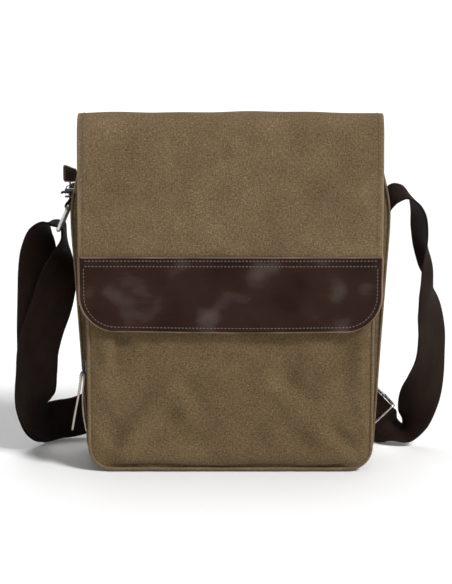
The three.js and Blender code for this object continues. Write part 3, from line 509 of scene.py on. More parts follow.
# ---------------------------------------------------------------- materials
class Graph:
    """Shorthand for building a material's nodes."""

    def __init__(self, name, colour, roughness, metallic=0.0, **sockets):
        self.material = bpy.data.materials.new(name)
        self.material.use_nodes = True
        self.tree = self.material.node_tree
        self.shader = next(n for n in self.tree.nodes if n.type == "BSDF_PRINCIPLED")
        self.shader.inputs["Base Color"].default_value = (*colour, 1)
        self.shader.inputs["Roughness"].default_value = roughness
        self.shader.inputs["Metallic"].default_value = metallic
        for key, value in sockets.items():
            self.shader.inputs[key.replace("_", " ")].default_value = value
        self.material.diffuse_color = (*colour, 1)

    def node(self, kind, inputs=(), **settings):
        """A node with its settings, and a value or a link for each input."""
        n = self.tree.nodes.new(kind)
        for key, value in settings.items():
            setattr(n, key, value)
        for key, value in dict(inputs).items():
            if isinstance(value, bpy.types.NodeSocket):
                self.tree.links.new(value, n.inputs[key])
            else:
                n.inputs[key].default_value = value
        return n

    def math(self, op, a, b=0.0, c=0.0):
        return self.node("ShaderNodeMath", {0: a, 1: b, 2: c}, operation=op).outputs[0]

    def add(self, a, b):
        return self.math("ADD", a, b)

    def mul(self, a, b):
        return self.math("MULTIPLY", a, b)

    def mad(self, a, b, c):
        return self.math("MULTIPLY_ADD", a, b, c)

    def wave(self, value, period):
        """A sine of that period, from 0 to 1."""
        return self.mad(self.math("SINE", self.mul(value, 2 * math.pi / period)), 0.5, 0.5)

    def map_range(self, value, low, high, to_low, to_high):
        return self.node("ShaderNodeMapRange", {"Value": value, "From Min": low, "From Max": high,
                                                "To Min": to_low, "To Max": to_high}).outputs[0]

    def uv(self):
        return self.node("ShaderNodeUVMap", uv_map="UVMap").outputs[0]

    def in_object(self):
        return self.node("ShaderNodeTexCoord").outputs["Object"]

    def scaled(self, vector, scale):
        return self.node("ShaderNodeMapping", {"Vector": vector, "Scale": scale}).outputs[0]

    def noise(self, vector, scale, detail=3.0, roughness=0.55, distortion=0.0):
        n = self.node("ShaderNodeTexNoise", {"Vector": vector, "Scale": scale, "Detail": detail,
                                             "Roughness": roughness, "Distortion": distortion})
        return n.outputs["Fac"]

    def ramp(self, value, *stops):
        """A colour ramp, whose stops are [position, colour or grey]."""
        n = self.node("ShaderNodeValToRGB", {"Fac": value})
        ramp = n.color_ramp
        while len(ramp.elements) < len(stops):
            ramp.elements.new(0.5)
        for element, (at, colour) in zip(ramp.elements, stops):
            element.position = at
            element.color = (*colour, 1) if hasattr(colour, "__len__") else (colour, colour, colour, 1)
        return n.outputs[0]

    def mix(self, factor, a, b, blend="MIX"):
        """Two colours mixed, each a link or a value."""
        n = self.node("ShaderNodeMix", data_type="RGBA", blend_type=blend)
        for socket, value in ((n.inputs[0], factor), (n.inputs[6], a), (n.inputs[7], b)):
            if isinstance(value, bpy.types.NodeSocket):
                self.tree.links.new(value, socket)
            else:
                socket.default_value = (*value, 1) if hasattr(value, "__len__") else value
        return n.outputs[2]

    def worn(self):
        return self.node("ShaderNodeAttribute", attribute_name="wear").outputs["Fac"]

    def bump(self, height, distance, strength, after=None):
        inputs = {"Height": height, "Distance": distance, "Strength": strength}
        if after is not None:
            inputs["Normal"] = after
        return self.node("ShaderNodeBump", inputs).outputs[0]

    def finish(self, colour, normal, roughness=None):
        """Links what varies over the surface to the shader."""
        for key, value in (("Base Color", colour), ("Normal", normal), ("Roughness", roughness)):
            if value is not None:
                self.tree.links.new(value, self.shader.inputs[key])
        return self.material


def toned(colour, factor):
    """A colour made darker or lighter."""
    return tuple(min(1, c * factor) for c in colour)


def plain_weave(g, uv, pitch):
    """Height of a plain weave with threads at that pitch, in metres."""
    part = g.node("ShaderNodeSeparateXYZ", {"Vector": uv})
    u = g.math("SINE", g.mul(part.outputs[0], math.pi / pitch))
    v = g.math("SINE", g.mul(part.outputs[1], math.pi / pitch))
    return g.mad(g.mul(u, v), 0.5, 0.5)


WEAVE_DEPTH = 0.00018


def canvas_material(name, dark, base, light, pitch=0.0007):
    """Washed canvas: a coarse weave with slubs both ways, mottled, and paler along its edges."""
    g = Graph(name, base, 0.9, Sheen_Weight=0.09, Sheen_Roughness=0.5, Specular_IOR_Level=0.12)
    uv = g.uv()
    weave = plain_weave(g, uv, pitch)
    warp = g.noise(g.scaled(uv, (1, 0.3, 1)), 900, 2.0, 0.6)
    weft = g.noise(g.scaled(uv, (0.3, 1, 1)), 900, 2.0, 0.6)
    slub = g.add(g.mul(warp, 0.5), g.mul(weft, 0.5))
    fine = g.noise(uv, 640, 3.0, 0.75)
    cloud = g.noise(uv, 11, 5.0, 0.62, 0.4)
    patch = g.noise(uv, 38, 4.0, 0.6)
    tone = g.mad(slub, 1.0, g.mad(fine, 1.3, g.mul(patch, 0.3)))  # around 0.99
    tone = g.mad(cloud, 0.4, g.math("SUBTRACT", tone, 0.99))
    colour = g.ramp(tone, (0.2, dark), (0.52, base), (0.86, light))
    pale = g.ramp(g.mul(g.worn(), g.add(patch, 0.25)), (0.28, 0.0), (0.75, 0.55))
    colour = g.mix(pale, colour, light)
    shade = g.ramp(weave, (0.0, 0.86), (0.55, 1.0))
    colour = g.mix(1.0, colour, shade, "MULTIPLY")
    normal = g.bump(g.mad(slub, 0.9, weave), WEAVE_DEPTH, 0.9)
    return g.finish(colour, g.bump(g.add(patch, cloud), 0.0011, 0.55, normal))


def cloth_material(name, base, pitch=0.0005):
    """Plain woven lining or zip tape."""
    g = Graph(name, base, 0.8, Sheen_Weight=0.15, Specular_IOR_Level=0.3)
    uv = g.uv()
    weave = plain_weave(g, uv, pitch)
    patch = g.noise(uv, 60, 4.0, 0.6)
    tone = g.mad(weave, 0.35, g.mul(patch, 0.75))
    colour = g.ramp(tone, (0.2, toned(base, 0.65)), (0.5, base), (0.85, toned(base, 1.6)))
    return g.finish(colour, g.bump(weave, 0.00012, 0.8, g.bump(patch, 0.0008, 0.4)))


def leather_material(name, dark, base, light, gloss):
    """Smooth waxed leather: fine grain, patches that are glossier and also painted paler as painted sheen, and
    rubbed edges.
    """
    g = Graph(name, base, 0.4, Specular_IOR_Level=0.1, Specular_Tint=(1.0, 0.84, 0.74, 1))
    uv = g.uv()
    cells, pores = (
        g.node("ShaderNodeTexVoronoi", {"Vector": uv, "Scale": scale}, feature=feature).outputs["Distance"]
        for scale, feature in ((950.0, "F1"), (520.0, "DISTANCE_TO_EDGE")))
    # broad patches: glossier through the roughness, and painted paler towards the light colour, which on the band's
    # leather is a greyish painted sheen in place of highlights
    cloud = g.noise(uv, 26, 1.6, 0.45, 0.15)
    crease = g.noise(g.scaled(uv, (0.4, 1, 1)), 70, 4.0, 0.6, 1.2)
    tone = g.mad(cloud, 0.88, g.mul(crease, 0.15))
    colour = g.ramp(tone, (0.34, dark), (0.56, base), (0.74, light))
    rubbed = g.ramp(g.mul(g.worn(), g.add(crease, 0.35)), (0.45, 0.0), (0.9, 0.6))
    colour = g.mix(rubbed, colour, toned(light, 1.7))
    rough = g.map_range(tone, 0.3, 0.75, gloss[1], gloss[0])
    grain = g.mad(pores, 1.6, g.mul(cells, 0.5))
    normal = g.bump(grain, 0.00011, 0.7)
    normal = g.bump(g.mad(cloud, 0.9, crease), 0.002, 0.5, normal)
    return g.finish(colour, normal, rough)


def webbing_material(name, dark, base, light):
    """Heavy webbing: a herringbone of ribs along it, with crosswise picks."""
    g = Graph(name, base, 0.75, Specular_IOR_Level=0.1)
    uv = g.uv()
    part = g.node("ShaderNodeSeparateXYZ", {"Vector": uv})
    rib = 0.0034
    fold = g.math("PINGPONG", part.outputs[0], rib)
    slant = g.add(part.outputs[1], g.mul(fold, 0.85))
    twill = g.wave(slant, 0.0019)
    ridge = g.math("DIVIDE", fold, rib)
    patch = g.noise(g.scaled(uv, (1, 0.35, 1)), 90, 4.0, 0.65)
    cloud = g.noise(uv, 14, 3.0)
    tone = g.mad(twill, 0.42, g.mul(patch, 0.5))
    tone = g.mad(cloud, 0.3, g.math("SUBTRACT", tone, 0.1))
    colour = g.ramp(tone, (0.15, dark), (0.5, base), (0.9, light))
    height = g.mad(ridge, 0.35, twill)
    normal = g.bump(height, 0.00028, 0.85)
    return g.finish(colour, g.bump(cloud, 0.0016, 0.3, normal))


def metal_material(name, base, rough=(0.16, 0.34)):
    """Plated metal with fine wear."""
    g = Graph(name, base, 0.25, 1.0)
    place = g.in_object()
    scratch = g.noise(g.scaled(place, (1, 1, 0.25)), 900, 3.0, 0.7)
    cloud = g.noise(place, 160, 3.0)
    value = g.mad(cloud, 0.6, g.mul(scratch, 0.4))
    roughness = g.map_range(value, 0.3, 0.7, *rough)
    colour = g.ramp(cloud, (0.3, toned(base, 0.8)), (0.7, base))
    return g.finish(colour, g.bump(scratch, 0.00003, 0.5), roughness)


def thread_material(name, base):
    """Twisted sewing thread."""
    g = Graph(name, base, 0.6, Sheen_Weight=0.2)
    uv = g.uv()
    part = g.node("ShaderNodeSeparateXYZ", {"Vector": g.in_object()})
    twist = g.add(g.add(part.outputs[0], part.outputs[1]), part.outputs[2])
    ply = g.wave(twist, 0.0007)
    wear = g.noise(uv, 90)
    colour = g.mix(ply, toned(base, 0.7), base)
    colour = g.mix(wear, colour, toned(base, 1.25))
    return g.finish(colour, g.bump(ply, 0.00008, 0.7))


def board_material(name, base):
    """Flecked stiffener board."""
    g = Graph(name, base, 0.75)
    place = g.in_object()
    fleck = g.noise(place, 700, 4.0, 0.7)
    cloud = g.noise(place, 30, 3.0)
    colour = g.ramp(g.mad(fleck, 0.6, g.mul(cloud, 0.4)),
                    (0.3, toned(base, 0.7)), (0.7, base))
    return g.finish(colour, g.bump(fleck, 0.0001, 0.6))


CANVAS = canvas_material(
    "canvas", (0.064, 0.042, 0.020), (0.131, 0.088, 0.045), (0.242, 0.173, 0.100))
# a darker copy of the canvas for the front panel and the front sides: painted shade, since the front stands below
# the flap and gets less light
CANVAS_FRONT_PAINTED_SHADE = canvas_material(
    "canvas_front_painted_shade", (0.056, 0.036, 0.016), (0.110, 0.073, 0.034), (0.200, 0.142, 0.076))
EDGING = canvas_material(
    "canvas_edging", (0.080, 0.052, 0.025), (0.135, 0.091, 0.048), (0.230, 0.165, 0.098), pitch=0.0008)
CANVAS_BACK = canvas_material(
    "canvas_inside", (0.055, 0.038, 0.022), (0.088, 0.062, 0.036), (0.13, 0.095, 0.06))
LINING = cloth_material("lining", (0.030, 0.025, 0.020))
ZIP_TAPE = cloth_material("zip_tape", (0.020, 0.016, 0.013), 0.0006)
# the band's leather: its pale greyish light colour is painted sheen, highlights painted on its patches
LEATHER = leather_material(
    "leather", (0.0130, 0.0052, 0.0036), (0.0230, 0.0102, 0.0071), (0.058, 0.044, 0.040), (0.22, 0.5))
LEATHER_EDGE = leather_material(
    "leather_edge", (0.075, 0.046, 0.034), (0.135, 0.088, 0.066), (0.21, 0.145, 0.11), (0.5, 0.7))
PULL_EDGE = leather_material(
    "pull_edge", (0.14, 0.115, 0.095), (0.24, 0.205, 0.175), (0.33, 0.29, 0.25), (0.5, 0.7))
WEBBING = webbing_material(
    "webbing", (0.0034, 0.0015, 0.0010), (0.0108, 0.0052, 0.0035), (0.034, 0.0185, 0.0128))
NICKEL = metal_material("nickel", (0.62, 0.60, 0.57))
ZIP_METAL = metal_material("zip_metal", (0.125, 0.120, 0.115), (0.22, 0.4))
TEETH = metal_material("zip_teeth", (0.15, 0.145, 0.14), (0.3, 0.5))
THREAD = thread_material("thread", (0.062, 0.041, 0.024))
DARK_THREAD = thread_material("leather_thread", (0.088, 0.066, 0.051))
BOARD = board_material("board", (0.25, 0.23, 0.2))

# nodes that keep their CAD shape, with a better material
for node_name, material in (("base_board", BOARD), ("main_zip_link", ZIP_METAL), ("front_zip_link", ZIP_METAL)):
    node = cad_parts[node_name]
    node.data.materials.clear()
    node.data.materials.append(material)
    if node_name.endswith("link"):
        node.data.polygons.foreach_set("use_smooth", [True] * len(node.data.polygons))

# ---------------------------------------------------------------- settling of the canvas
hang("front", 266, 232, 0.030, 2.2, seed=3)
hang("back", 276, 296, 0.018, 1.6, seed=5)
hang("flap", 280, 126, 0.014, 0.7, pinned="TB", seed=8)
hang("side_left", 60, 234, 0.03, -2.0, pinned="LRB", seed=11)
hang("side_right", 60, 234, 0.03, -2.0, pinned="LRB", seed=12)
settle(SETTLE_FRAMES)


# ---------------------------------------------------------------- main compartment
def upright_sheet(z, half, cols, y_of):
    """A grid of points [z, x] of an upright panel whose half width changes with height."""
    x = np.asarray(half)[:, None] * spread(cols, 0.96)[None]
    zz = np.repeat(np.asarray(z)[:, None], cols, axis=1)
    return np.stack([x, y_of(x, zz), zz], axis=2)


def flat_uv(p):
    """UVs in metres straight from the front."""
    return np.stack([p[:, :, 0], p[:, :, 2]], axis=2) * MM


def edge_dive(p, half, bottom, top, depth, reach=5.0):
    """How far a panel dips towards its seam, by the distance to its edge."""
    d = np.minimum(np.minimum(half[:, None] - np.abs(p[:, :, 0]), p[:, :, 2] - bottom), top - p[:, :, 2])
    return depth * np.exp(-np.clip(d, 0, None) / reach * 1.6)


def back_panel():
    """The back, with its seam allowance turned in at the piping."""
    z = heights(CORD + 0.2, 318, BODY_CORNER - 2, 0, 5.0)
    half = body_half(z) - CORD - 0.2
    half[0] = body_half(3.0) - CORD - 6
    p = upright_sheet(z, half, 60, lambda x, zz: BODY_BACK + LEAN * zz - 0.9)
    puff = relief("back", (p[:, :, 0] + 138) / 276, p[:, :, 2] / 296, -0.4, 2.6)
    puff *= smooth((290 - p[:, :, 2]) / 40)
    # flat behind the zipped pocket
    pocket = smooth((112 - np.abs(p[:, :, 0])) / 12) * smooth((22 - np.abs(p[:, :, 2] - 236)) / 8)
    p[:, :, 1] += 0.9 + puff * (1 - pocket) - edge_dive(p, half, 0, 400, 1.5)
    b = shell(Build(), p[:, ::-1], CANVAS_THICK, uv=flat_uv(p[:, ::-1]), inner=1)
    piece("back", b, [CANVAS, CANVAS_BACK], "bag", "back_panel")


def wall_panel():
    """The wall between the compartments, whose upper part stands free."""
    z = heights(0.4, 318, BODY_CORNER, 0, 6.0)
    half = body_half(z) - 0.2
    p = upright_sheet(z, half, 60, lambda x, zz: BODY_WALL + LEAN * zz)
    above = smooth((p[:, :, 2] - 244) / 30)
    p[:, :, 1] += above * 0.9 * np.sin(p[:, :, 0] / 23 + 1.1) * np.sin(p[:, :, 2] / 17)
    p[:, :, 1] += 0.5 * np.sin(p[:, :, 2] / 19) * smooth((np.abs(p[:, :, 0]) - 120) / 12)
    b = shell(Build(), p, WALL_THICK, uv=flat_uv(p), inner=1)
    piece("wall", b, [CANVAS, CANVAS_BACK], "bag", "inner_wall")


def outline(half_of, z_low, z_left, z_right, corner, centre_z=0.4, step=4.0):
    """A path [x, z] down the left side of a rounded outline, along its base and up the right side."""
    def side(top):
        """The right side, from the base up."""
        z = np.r_[heights(centre_z, 60, corner, 0, step)[1:], np.arange(60 + step, top, step), top]
        return np.stack([half_of(z), z], axis=1)
    left, right = side(z_left), side(z_right)
    base = [[-left[0, 0] * k, z_low] for k in (0.96, 0.6, 0.2, -0.2, -0.6, -0.96)]
    path = np.vstack([left[::-1] * [-1, 1], base, right])
    xyz = np.stack([path[:, 0], np.zeros(len(path)), path[:, 1]], axis=1)
    return resample(xyz, step=step)


def strip_round(path, front, back, cols, middle_z):
    """A strip along an outline, from front to back: its grid of points, outward directions, shares of
    its width, lengths along it and UVs."""
    out = unit(np.cross(tangents(path), [0, 1.0, 0]))
    out *= np.sign(np.sum(out * (path - [0, 0, middle_z]), axis=1))[:, None]
    share = np.linspace(0, 1, cols)
    p = np.repeat(path[:, None], cols, axis=1)
    p[:, :, 1] = front[:, None] + (back - front)[:, None] * share[None]
    along = lengths_along(path)
    uv = np.stack([p[:, :, 1], np.repeat(along[:, None], cols, axis=1)], axis=2) * MM
    return p, out, share, along, uv


def gusset():
    """One strip of canvas down the left side, under the base and up the right side."""
    path = outline(body_half, 0.0, *GUSSET_TOP, BODY_CORNER)
    cols = 22
    front = BODY_WALL + 1.0 + LEAN * path[:, 2]
    back = BODY_BACK - CORD - 1.0 + LEAN * path[:, 2]
    p, out, share, _, uv = strip_round(path, front, back, cols, 150)
    z = np.repeat(path[:, 2:3], cols, axis=1)
    left = path[:, 0] < 0
    sink = np.zeros_like(z)
    for name, rows in (("side_left", left), ("side_right", ~left)):
        sink[rows] = relief(name, np.repeat(share[None], rows.sum(), axis=0), z[rows] / 254, -0.3, 2.8)
    sink *= smooth((z - 14) / 40)
    # the sides fold inwards along their middle, most towards the mouth
    fold = np.exp(-((share[None] - 0.5) / 0.16) ** 2) * smooth((z - 40) / 120) * 2.2
    fold *= 1 - 0.6 * smooth((z - 205) / 30) * smooth((275 - z) / 15)
    groove = 0.9 * (np.exp(-share / 0.05) + np.exp(-(1 - share) / 0.05))[None]
    p -= out[:, None] * (sink + fold + groove * smooth((z - 3) / 12))[:, :, None]
    b = shell(Build(), p, CANVAS_THICK, uv=uv, inner=1)
    piece("gusset", b, [CANVAS, CANVAS_BACK], "bag", ("left_gusset", "right_gusset", "base_panel"))

    # two rows of hem stitches across each end of the strip
    s = Build()
    for end in (3, 5):
        for row in (end, -1 - end):
            stitch_row(s, p[row, 1:-1] + out[row] * 0.1, out[row])
    piece("gusset_hem_stitches", s, THREAD, "bag")


def piping():
    """The piping of the back seam, of the wall's seam and round the front panel."""
    for name, trim, low, right_top, y, amount, radius, sides, node in (
            ("back", CORD + 0.1, CORD + 0.1, 262, BODY_BACK - 1, 0.15, CORD, 12, "back_piping"),
            ("wall", 0.6, 1.0, 284, BODY_WALL + 0.2, 0.12, 1.35, 10, ())):
        path = outline(lambda z: body_half(z) - trim, low, 262, right_top, BODY_CORNER, low)
        path[:, 1] = y + LEAN * path[:, 2]
        b = tube(Build(), wavy(path, amount), radius, sides)
        piece(f"{name}_seam_piping", b, EDGING, "bag", node)
    z = heights(*FRONT_SEAM, 4.0)
    right = np.stack([rounded_half(z, FRONT_HALF - CORD, *FRONT_SEAM), np.full(len(z), FRONT_FACE + 1), z], axis=1)
    loop = resample(np.vstack([right, right[::-1] * [-1, 1, 1]]), step=3.0, closed=True)
    b = tube(Build(), wavy(loop, 0.16), CORD, 12, closed=True)
    piece("front_seam_piping", b, EDGING, "bag", "front_piping")


def wavy(path, amount):
    """Small unevenness along a sewn cord, in its own plane."""
    s = np.arange(len(path))
    path = path.copy()
    wave = amount * (np.sin(s * 0.71) + 0.6 * np.sin(s * 0.29 + 1.3))
    path[:, 1] += wave * 0.7
    path[:, 2] += np.abs(wave) * 0.4
    return path


# ---------------------------------------------------------------- front compartment
def ridge(x, z, start, end, height, width):
    """A soft fold of the canvas between two points [x, z], which fades out at both."""
    start, end = np.array(start, float), np.array(end, float)
    length = np.linalg.norm(end - start)
    along = (end - start) / length
    a = (x - start[0]) * along[0] + (z - start[1]) * along[1]
    b = (z - start[1]) * along[0] - (x - start[0]) * along[1]
    fade = smooth(0.5 + a / (0.5 * length)) * smooth(0.5 + (length - a) / (0.5 * length))
    return height * fade * np.exp(-(b / width) ** 2)


FRONT_FOLDS = [
    # start, end, height, width
    ((-106, 20), (-58, 80), 2.9, 7.5), ((-112, 34), (-74, 80), -2.6, 8), ((-88, 16), (-52, 60), -2.0, 8),
    ((-60, 82), (-34, 44), 1.7, 7), ((-46, 92), (-24, 60), -1.7, 8), ((-62, 78), (-34, 104), 1.2, 8),
    ((30, 92), (66, 48), 1.5, 9), ((62, 52), (110, 12), 1.9, 8), ((48, 96), (78, 62), -1.5, 9),
    ((92, 46), (116, 22), -1.9, 7), ((52, 40), (86, 14), -1.2, 8), ((-120, 92), (-112, 136), 1.6, 6),
    ((-110, 104), (-100, 140), -2.2, 7), ((104, 70), (112, 128), -1.3, 8), ((122, 50), (121, 110), 1.1, 7),
    ((-10, 112), (24, 98), -1.1, 12), ((-18, 30), (26, 24), 1.0, 9), ((84, 122), (60, 88), 1.1, 9)]


def front_relief(x, z):
    """How far the front panel stands out: settled canvas, folds, and a sag over its lower seam."""
    out = 0.8 * relief("front", (x + 133) / 266, z / 236, -0.6, 3.4)
    for start, end, height, width in FRONT_FOLDS:
        out = out + ridge(x, z, start, end, 1.7 * height, width)
    scallop = 1 + 0.32 * np.sin(x / 15.5 + 0.9) + 0.2 * np.sin(x / 6.7 + 2.0)
    inside = smooth((124 - np.abs(x)) / 26)
    out = out + 4.4 * np.exp(-((z - 15.5) / 7.5) ** 2) * scallop * inside
    limit = 2.0 + 4.8 * smooth((134 - z) / 10)
    out = limit * np.tanh(out / limit)
    groove = np.exp(-((z - 5.2 - 0.9 * np.sin(x / 15.5 - 0.4)) / 2.7) ** 2)
    return out - 6.0 * groove * inside


def front_panel():
    """The front panel, with its settled surface and folds."""
    z = heights(*FRONT_SEAM, 3.6)
    half = rounded_half(z, FRONT_HALF - CORD, *FRONT_SEAM)
    half[0] = max(half[0], half[1] - 4)
    p = upright_sheet(z, half, 96, lambda x, zz: np.full_like(x, FRONT_FACE))
    out = front_relief(p[:, :, 0], p[:, :, 2])
    dive = edge_dive(p, half, *FRONT_SEAM[:2], 1.0, 4.0)
    p[:, :, 1] -= out * (1 - dive) - dive * 1.6
    b = shell(Build(), p, CANVAS_THICK, uv=flat_uv(p), inner=1)
    # the front panel's canvas is the darker copy: painted shade
    piece("front", b, [CANVAS_FRONT_PAINTED_SHADE, CANVAS_BACK], "bag", "front_panel")


def front_sides():
    """The closed part of the front compartment's sides and base, below its zip."""
    half = lambda z: rounded_half(z, FRONT_HALF, FRONT_BOTTOM, 400, FRONT_CORNER, 1)
    path = outline(half, FRONT_BOTTOM, *FRONT_ZIP_END, FRONT_CORNER, FRONT_BOTTOM)
    front = np.full(len(path), FRONT_FACE + 2.4)
    p, out, share, along, uv = strip_round(path, front, BODY_WALL - 0.3 + LEAN * path[:, 2], 12, 120)
    hump = np.sin(np.pi * share)[None]
    ripple = 0.7 * np.sin(along / 9.0)[:, None] * hump
    sink = (1.6 * hump + ripple) * smooth((p[:, :, 2] - 6) / 20)
    p -= out[:, None] * sink[:, :, None]
    b = shell(Build(), p, CANVAS_THICK, uv=uv, inner=1)
    # the front sides use the darker canvas copy too: painted shade
    piece("front_gusset", b, [CANVAS_FRONT_PAINTED_SHADE, CANVAS_BACK], "bag",
          ("front_base", "front_left_side", "front_right_side"))
    s = Build()
    for row in (1, 2, -2, -3):
        stitch_row(s, p[row, 1:-1] + out[row] * 0.05, out[row], pitch=1.5, length=1.3)
    piece("front_zip_bartacks", s, DARK_THREAD, "bag")


def front_arch(inset):
    """The front zip's path, that far inside the front compartment's outline."""
    w, top, r = FRONT_HALF - inset, FRONT_TOP - inset, FRONT_TOP_CORNER - inset
    low_left, low_right = FRONT_ZIP_END
    a = np.linspace(0, np.pi / 2, 8)
    left = [(-w, low_left)] + [(-w, z) for z in np.arange(low_left + 6, top - r, 6)]
    over = [(-w + r - r * math.cos(k), top - r + r * math.sin(k)) for k in a]
    down = [(w - r + r * math.sin(k), top - r + r * math.cos(k)) for k in a]
    right = [(w, z) for z in np.arange(top - r, low_right + 6, -6)[1:]] + [(w, low_right)]
    q = np.array(left + over + down + right)
    return resample(np.stack([q[:, 0], np.zeros(len(q)), q[:, 1]], axis=1), step=3.0)


def front_zip():
    """Two tapes with teeth, up the left side, over the top and down the right side."""
    path = front_arch(0.2)
    for name, y0, y1, lean, sign in (("outer", FRONT_FACE + 2.4, FRONT_FACE + 6.6, 0.0, 1),
                                     ("inner", BODY_WALL - 0.2, BODY_WALL - 4.2, LEAN, -1)):
        p = np.repeat(path[:, None], 5, axis=1)
        p[:, :, 1] = y0 + (y1 - y0) * np.linspace(0, 1, 5)[None] + lean * p[:, :, 2]
        b = shell(Build(), p[:, ::sign], TAPE_THICK)
        piece(f"front_zip_{name}_tape", b, ZIP_TAPE, "bag", f"front_zip_tape_{name}")
        teeth = resample(front_arch(0.9), step=TOOTH_PITCH)
        teeth[:, 1] = y1 + sign * 0.15 + lean * teeth[:, 2]
        c = Build()
        for q, t in zip(teeth, tangents(teeth)):
            block_tooth(c, q, t, unit(np.cross(t, UP_Y)), sign * UP_Y)
        piece(f"front_zip_{name}_teeth", c, TEETH, "bag", f"front_zip_coil_{name}")


def block_tooth(build, at, along, across, towards, size=(1.2, 1.8, 1.5)):
    """One zip tooth: narrow at the root and broad at the head, which points towards the other row."""
    a, b, c = (s / 2 for s in size)
    corners = [(x * a * k, y * b, z * c)
               for z, k in ((-1, 0.7), (0.2, 1.0), (1, 0.75)) for y in (-1, 1) for x in (-1, 1)]
    v = np.array([at + x * along + y * across + z * towards for x, y, z in corners])
    faces = [(0, 2, 3, 1), (8, 9, 11, 10)]
    for k in (0, 4):
        faces += [(k, k + 1, k + 5, k + 4), (k + 1, k + 3, k + 7, k + 5), (k + 3, k + 2, k + 6, k + 7),
                  (k + 2, k, k + 4, k + 6)]
    if np.dot(np.cross(along, across), towards) < 0:
        faces = [f[::-1] for f in faces]
    return build.add(v, faces)


# ---------------------------------------------------------------- zip sliders and pulls
def slider_body(build, basis, at, length, width, thick, rise, double=False):
    """A zip slider in its own axes: along the zip, across it, and away from it. A double one has a second
    plate on the far side of the zip, and rise is how high its bridge stands."""
    basis = np.asarray(basis, float)
    block(build, (-length, -width, 0), (length, width, thick), 0.45, basis, at)
    lip = 0.5 if double else 1.6
    for side in (-1, 1):
        block(build, (-length, side * width - 0.4, -lip), (length, side * width + 0.4, 0.4), 0.3, basis, at)
    if double:
        block(build, (-length, -width, -2 * thick - 3.4), (length, width, -thick - 3.4), 0.45, basis, at)
        block(build, (1.0, -0.5, -thick - 3.4), (3.0, 0.5, 0.2), 0.15, basis, at)
    foot = [(-0.8, 0.3), (-0.78, rise * 0.55), (-0.6, rise - 0.5), (-0.3, rise)]
    bridge = foot + [(-a, c) for a, c in foot[::-1]]
    path = curve([(a * length, 0, c) for a, c in bridge], 25) @ basis + np.asarray(at)
    side = np.repeat(basis[1][None], len(path), axis=0)
    sweep(build, path, side, np.cross(tangents(path), side), circle(1.0, 10) * [1.35, 0.55])


def strip_pull(name, path, across, width, thickness, body, replaces, stitched=True):
    """A strip of leather along a path, with edges, rounded ends and stitches."""
    path = curve(path, 60, True)
    side = np.repeat(np.asarray(across, float)[None], len(path), axis=0)
    up = np.cross(tangents(path), side)
    share = np.linspace(-0.5, 0.5, 7)
    along = lengths_along(path)
    from_end = np.minimum(along, along[-1] - along)
    narrow = 1 - 0.35 * np.clip(1 - from_end / 2.2, 0, 1) ** 2
    p = path[:, None] + side[:, None] * (share[None] * width * narrow[:, None])[:, :, None]
    p = p - up[:, None] * thickness / 2
    p = p + up[:, None] * (-0.22 * (2 * share) ** 4)[None, :, None]
    b = shell(Build(), p, thickness, rim=1, wear_width=1.0)
    piece(name, b, [LEATHER, PULL_EDGE], body, replaces)
    if stitched:
        s = Build()
        keep = slice(2, -2)
        for sign in (-1, 1):
            line = path[keep] + side[keep] * sign * (width / 2 - 1.1)
            stitch_row(s, line + up[keep] * (thickness / 2 - 0.05), up[keep], pitch=2.6, length=1.8, radius=0.2)
        piece(name + "_stitches", s, DARK_THREAD, body)


def front_zip_pull():
    """The front zip's slider, and its pull: one strip folded over the link, whose two tails hang apart."""
    x, y, z = -FRONT_HALF - 0.5, -35.5, FRONT_ZIP_END[0] + 9.0
    b = Build()
    slider_body(b, [(0, 0, 1), (0, 1, 0), (-1, 0, 0)], (x, y, z), 6, 4.1, 1.6, 4.6)
    piece("front_slider", b, ZIP_METAL, "front_zip_slider", "front_zip_slider")
    cx = x - 2.8 - 9 * 0.16
    tails = [(-10.5, -62), (-7.6, -46), (-4.4, -30), (-2.2, -16), (-1.7, -9.5), (-0.9, -7.6), (0.4, -7.3),
             (1.5, -8.4), (1.7, -10.5), (1.4, -16), (0.6, -24), (0.2, -36), (1.2, -50), (3.2, -63)]
    strip_pull("front_pull", [(cx + a, y, z + c) for a, c in tails], (0, 1, 0), 6.6, 1.7, "front_zip_pull",
               "front_zip_pull")


# ---------------------------------------------------------------- main zip
ZIP_Z, ZIP_RIGHT = 262.0, 128.0
ZIP_MEET = np.array([-138.0, -13.5])
ZIP_CLOSED_Y = 5.6
ZIP_OPEN = {"front": -18.0, "rear": 27.0}


def zip_y(x):
    """Where the closed main zip runs."""
    return ZIP_MEET[1] + (x - ZIP_MEET[0]) * (ZIP_CLOSED_Y - ZIP_MEET[1]) / (ZIP_RIGHT - ZIP_MEET[0])


def tooth_row(build, path, sign, root, height):
    """A row of the main zip's teeth, which point to its middle."""
    for q, t in zip(path, tangents(path)):
        block_tooth(build, q + sign * root * UP_Y, t, UP_Z, -sign * UP_Y, (1.25, 2.4, height))


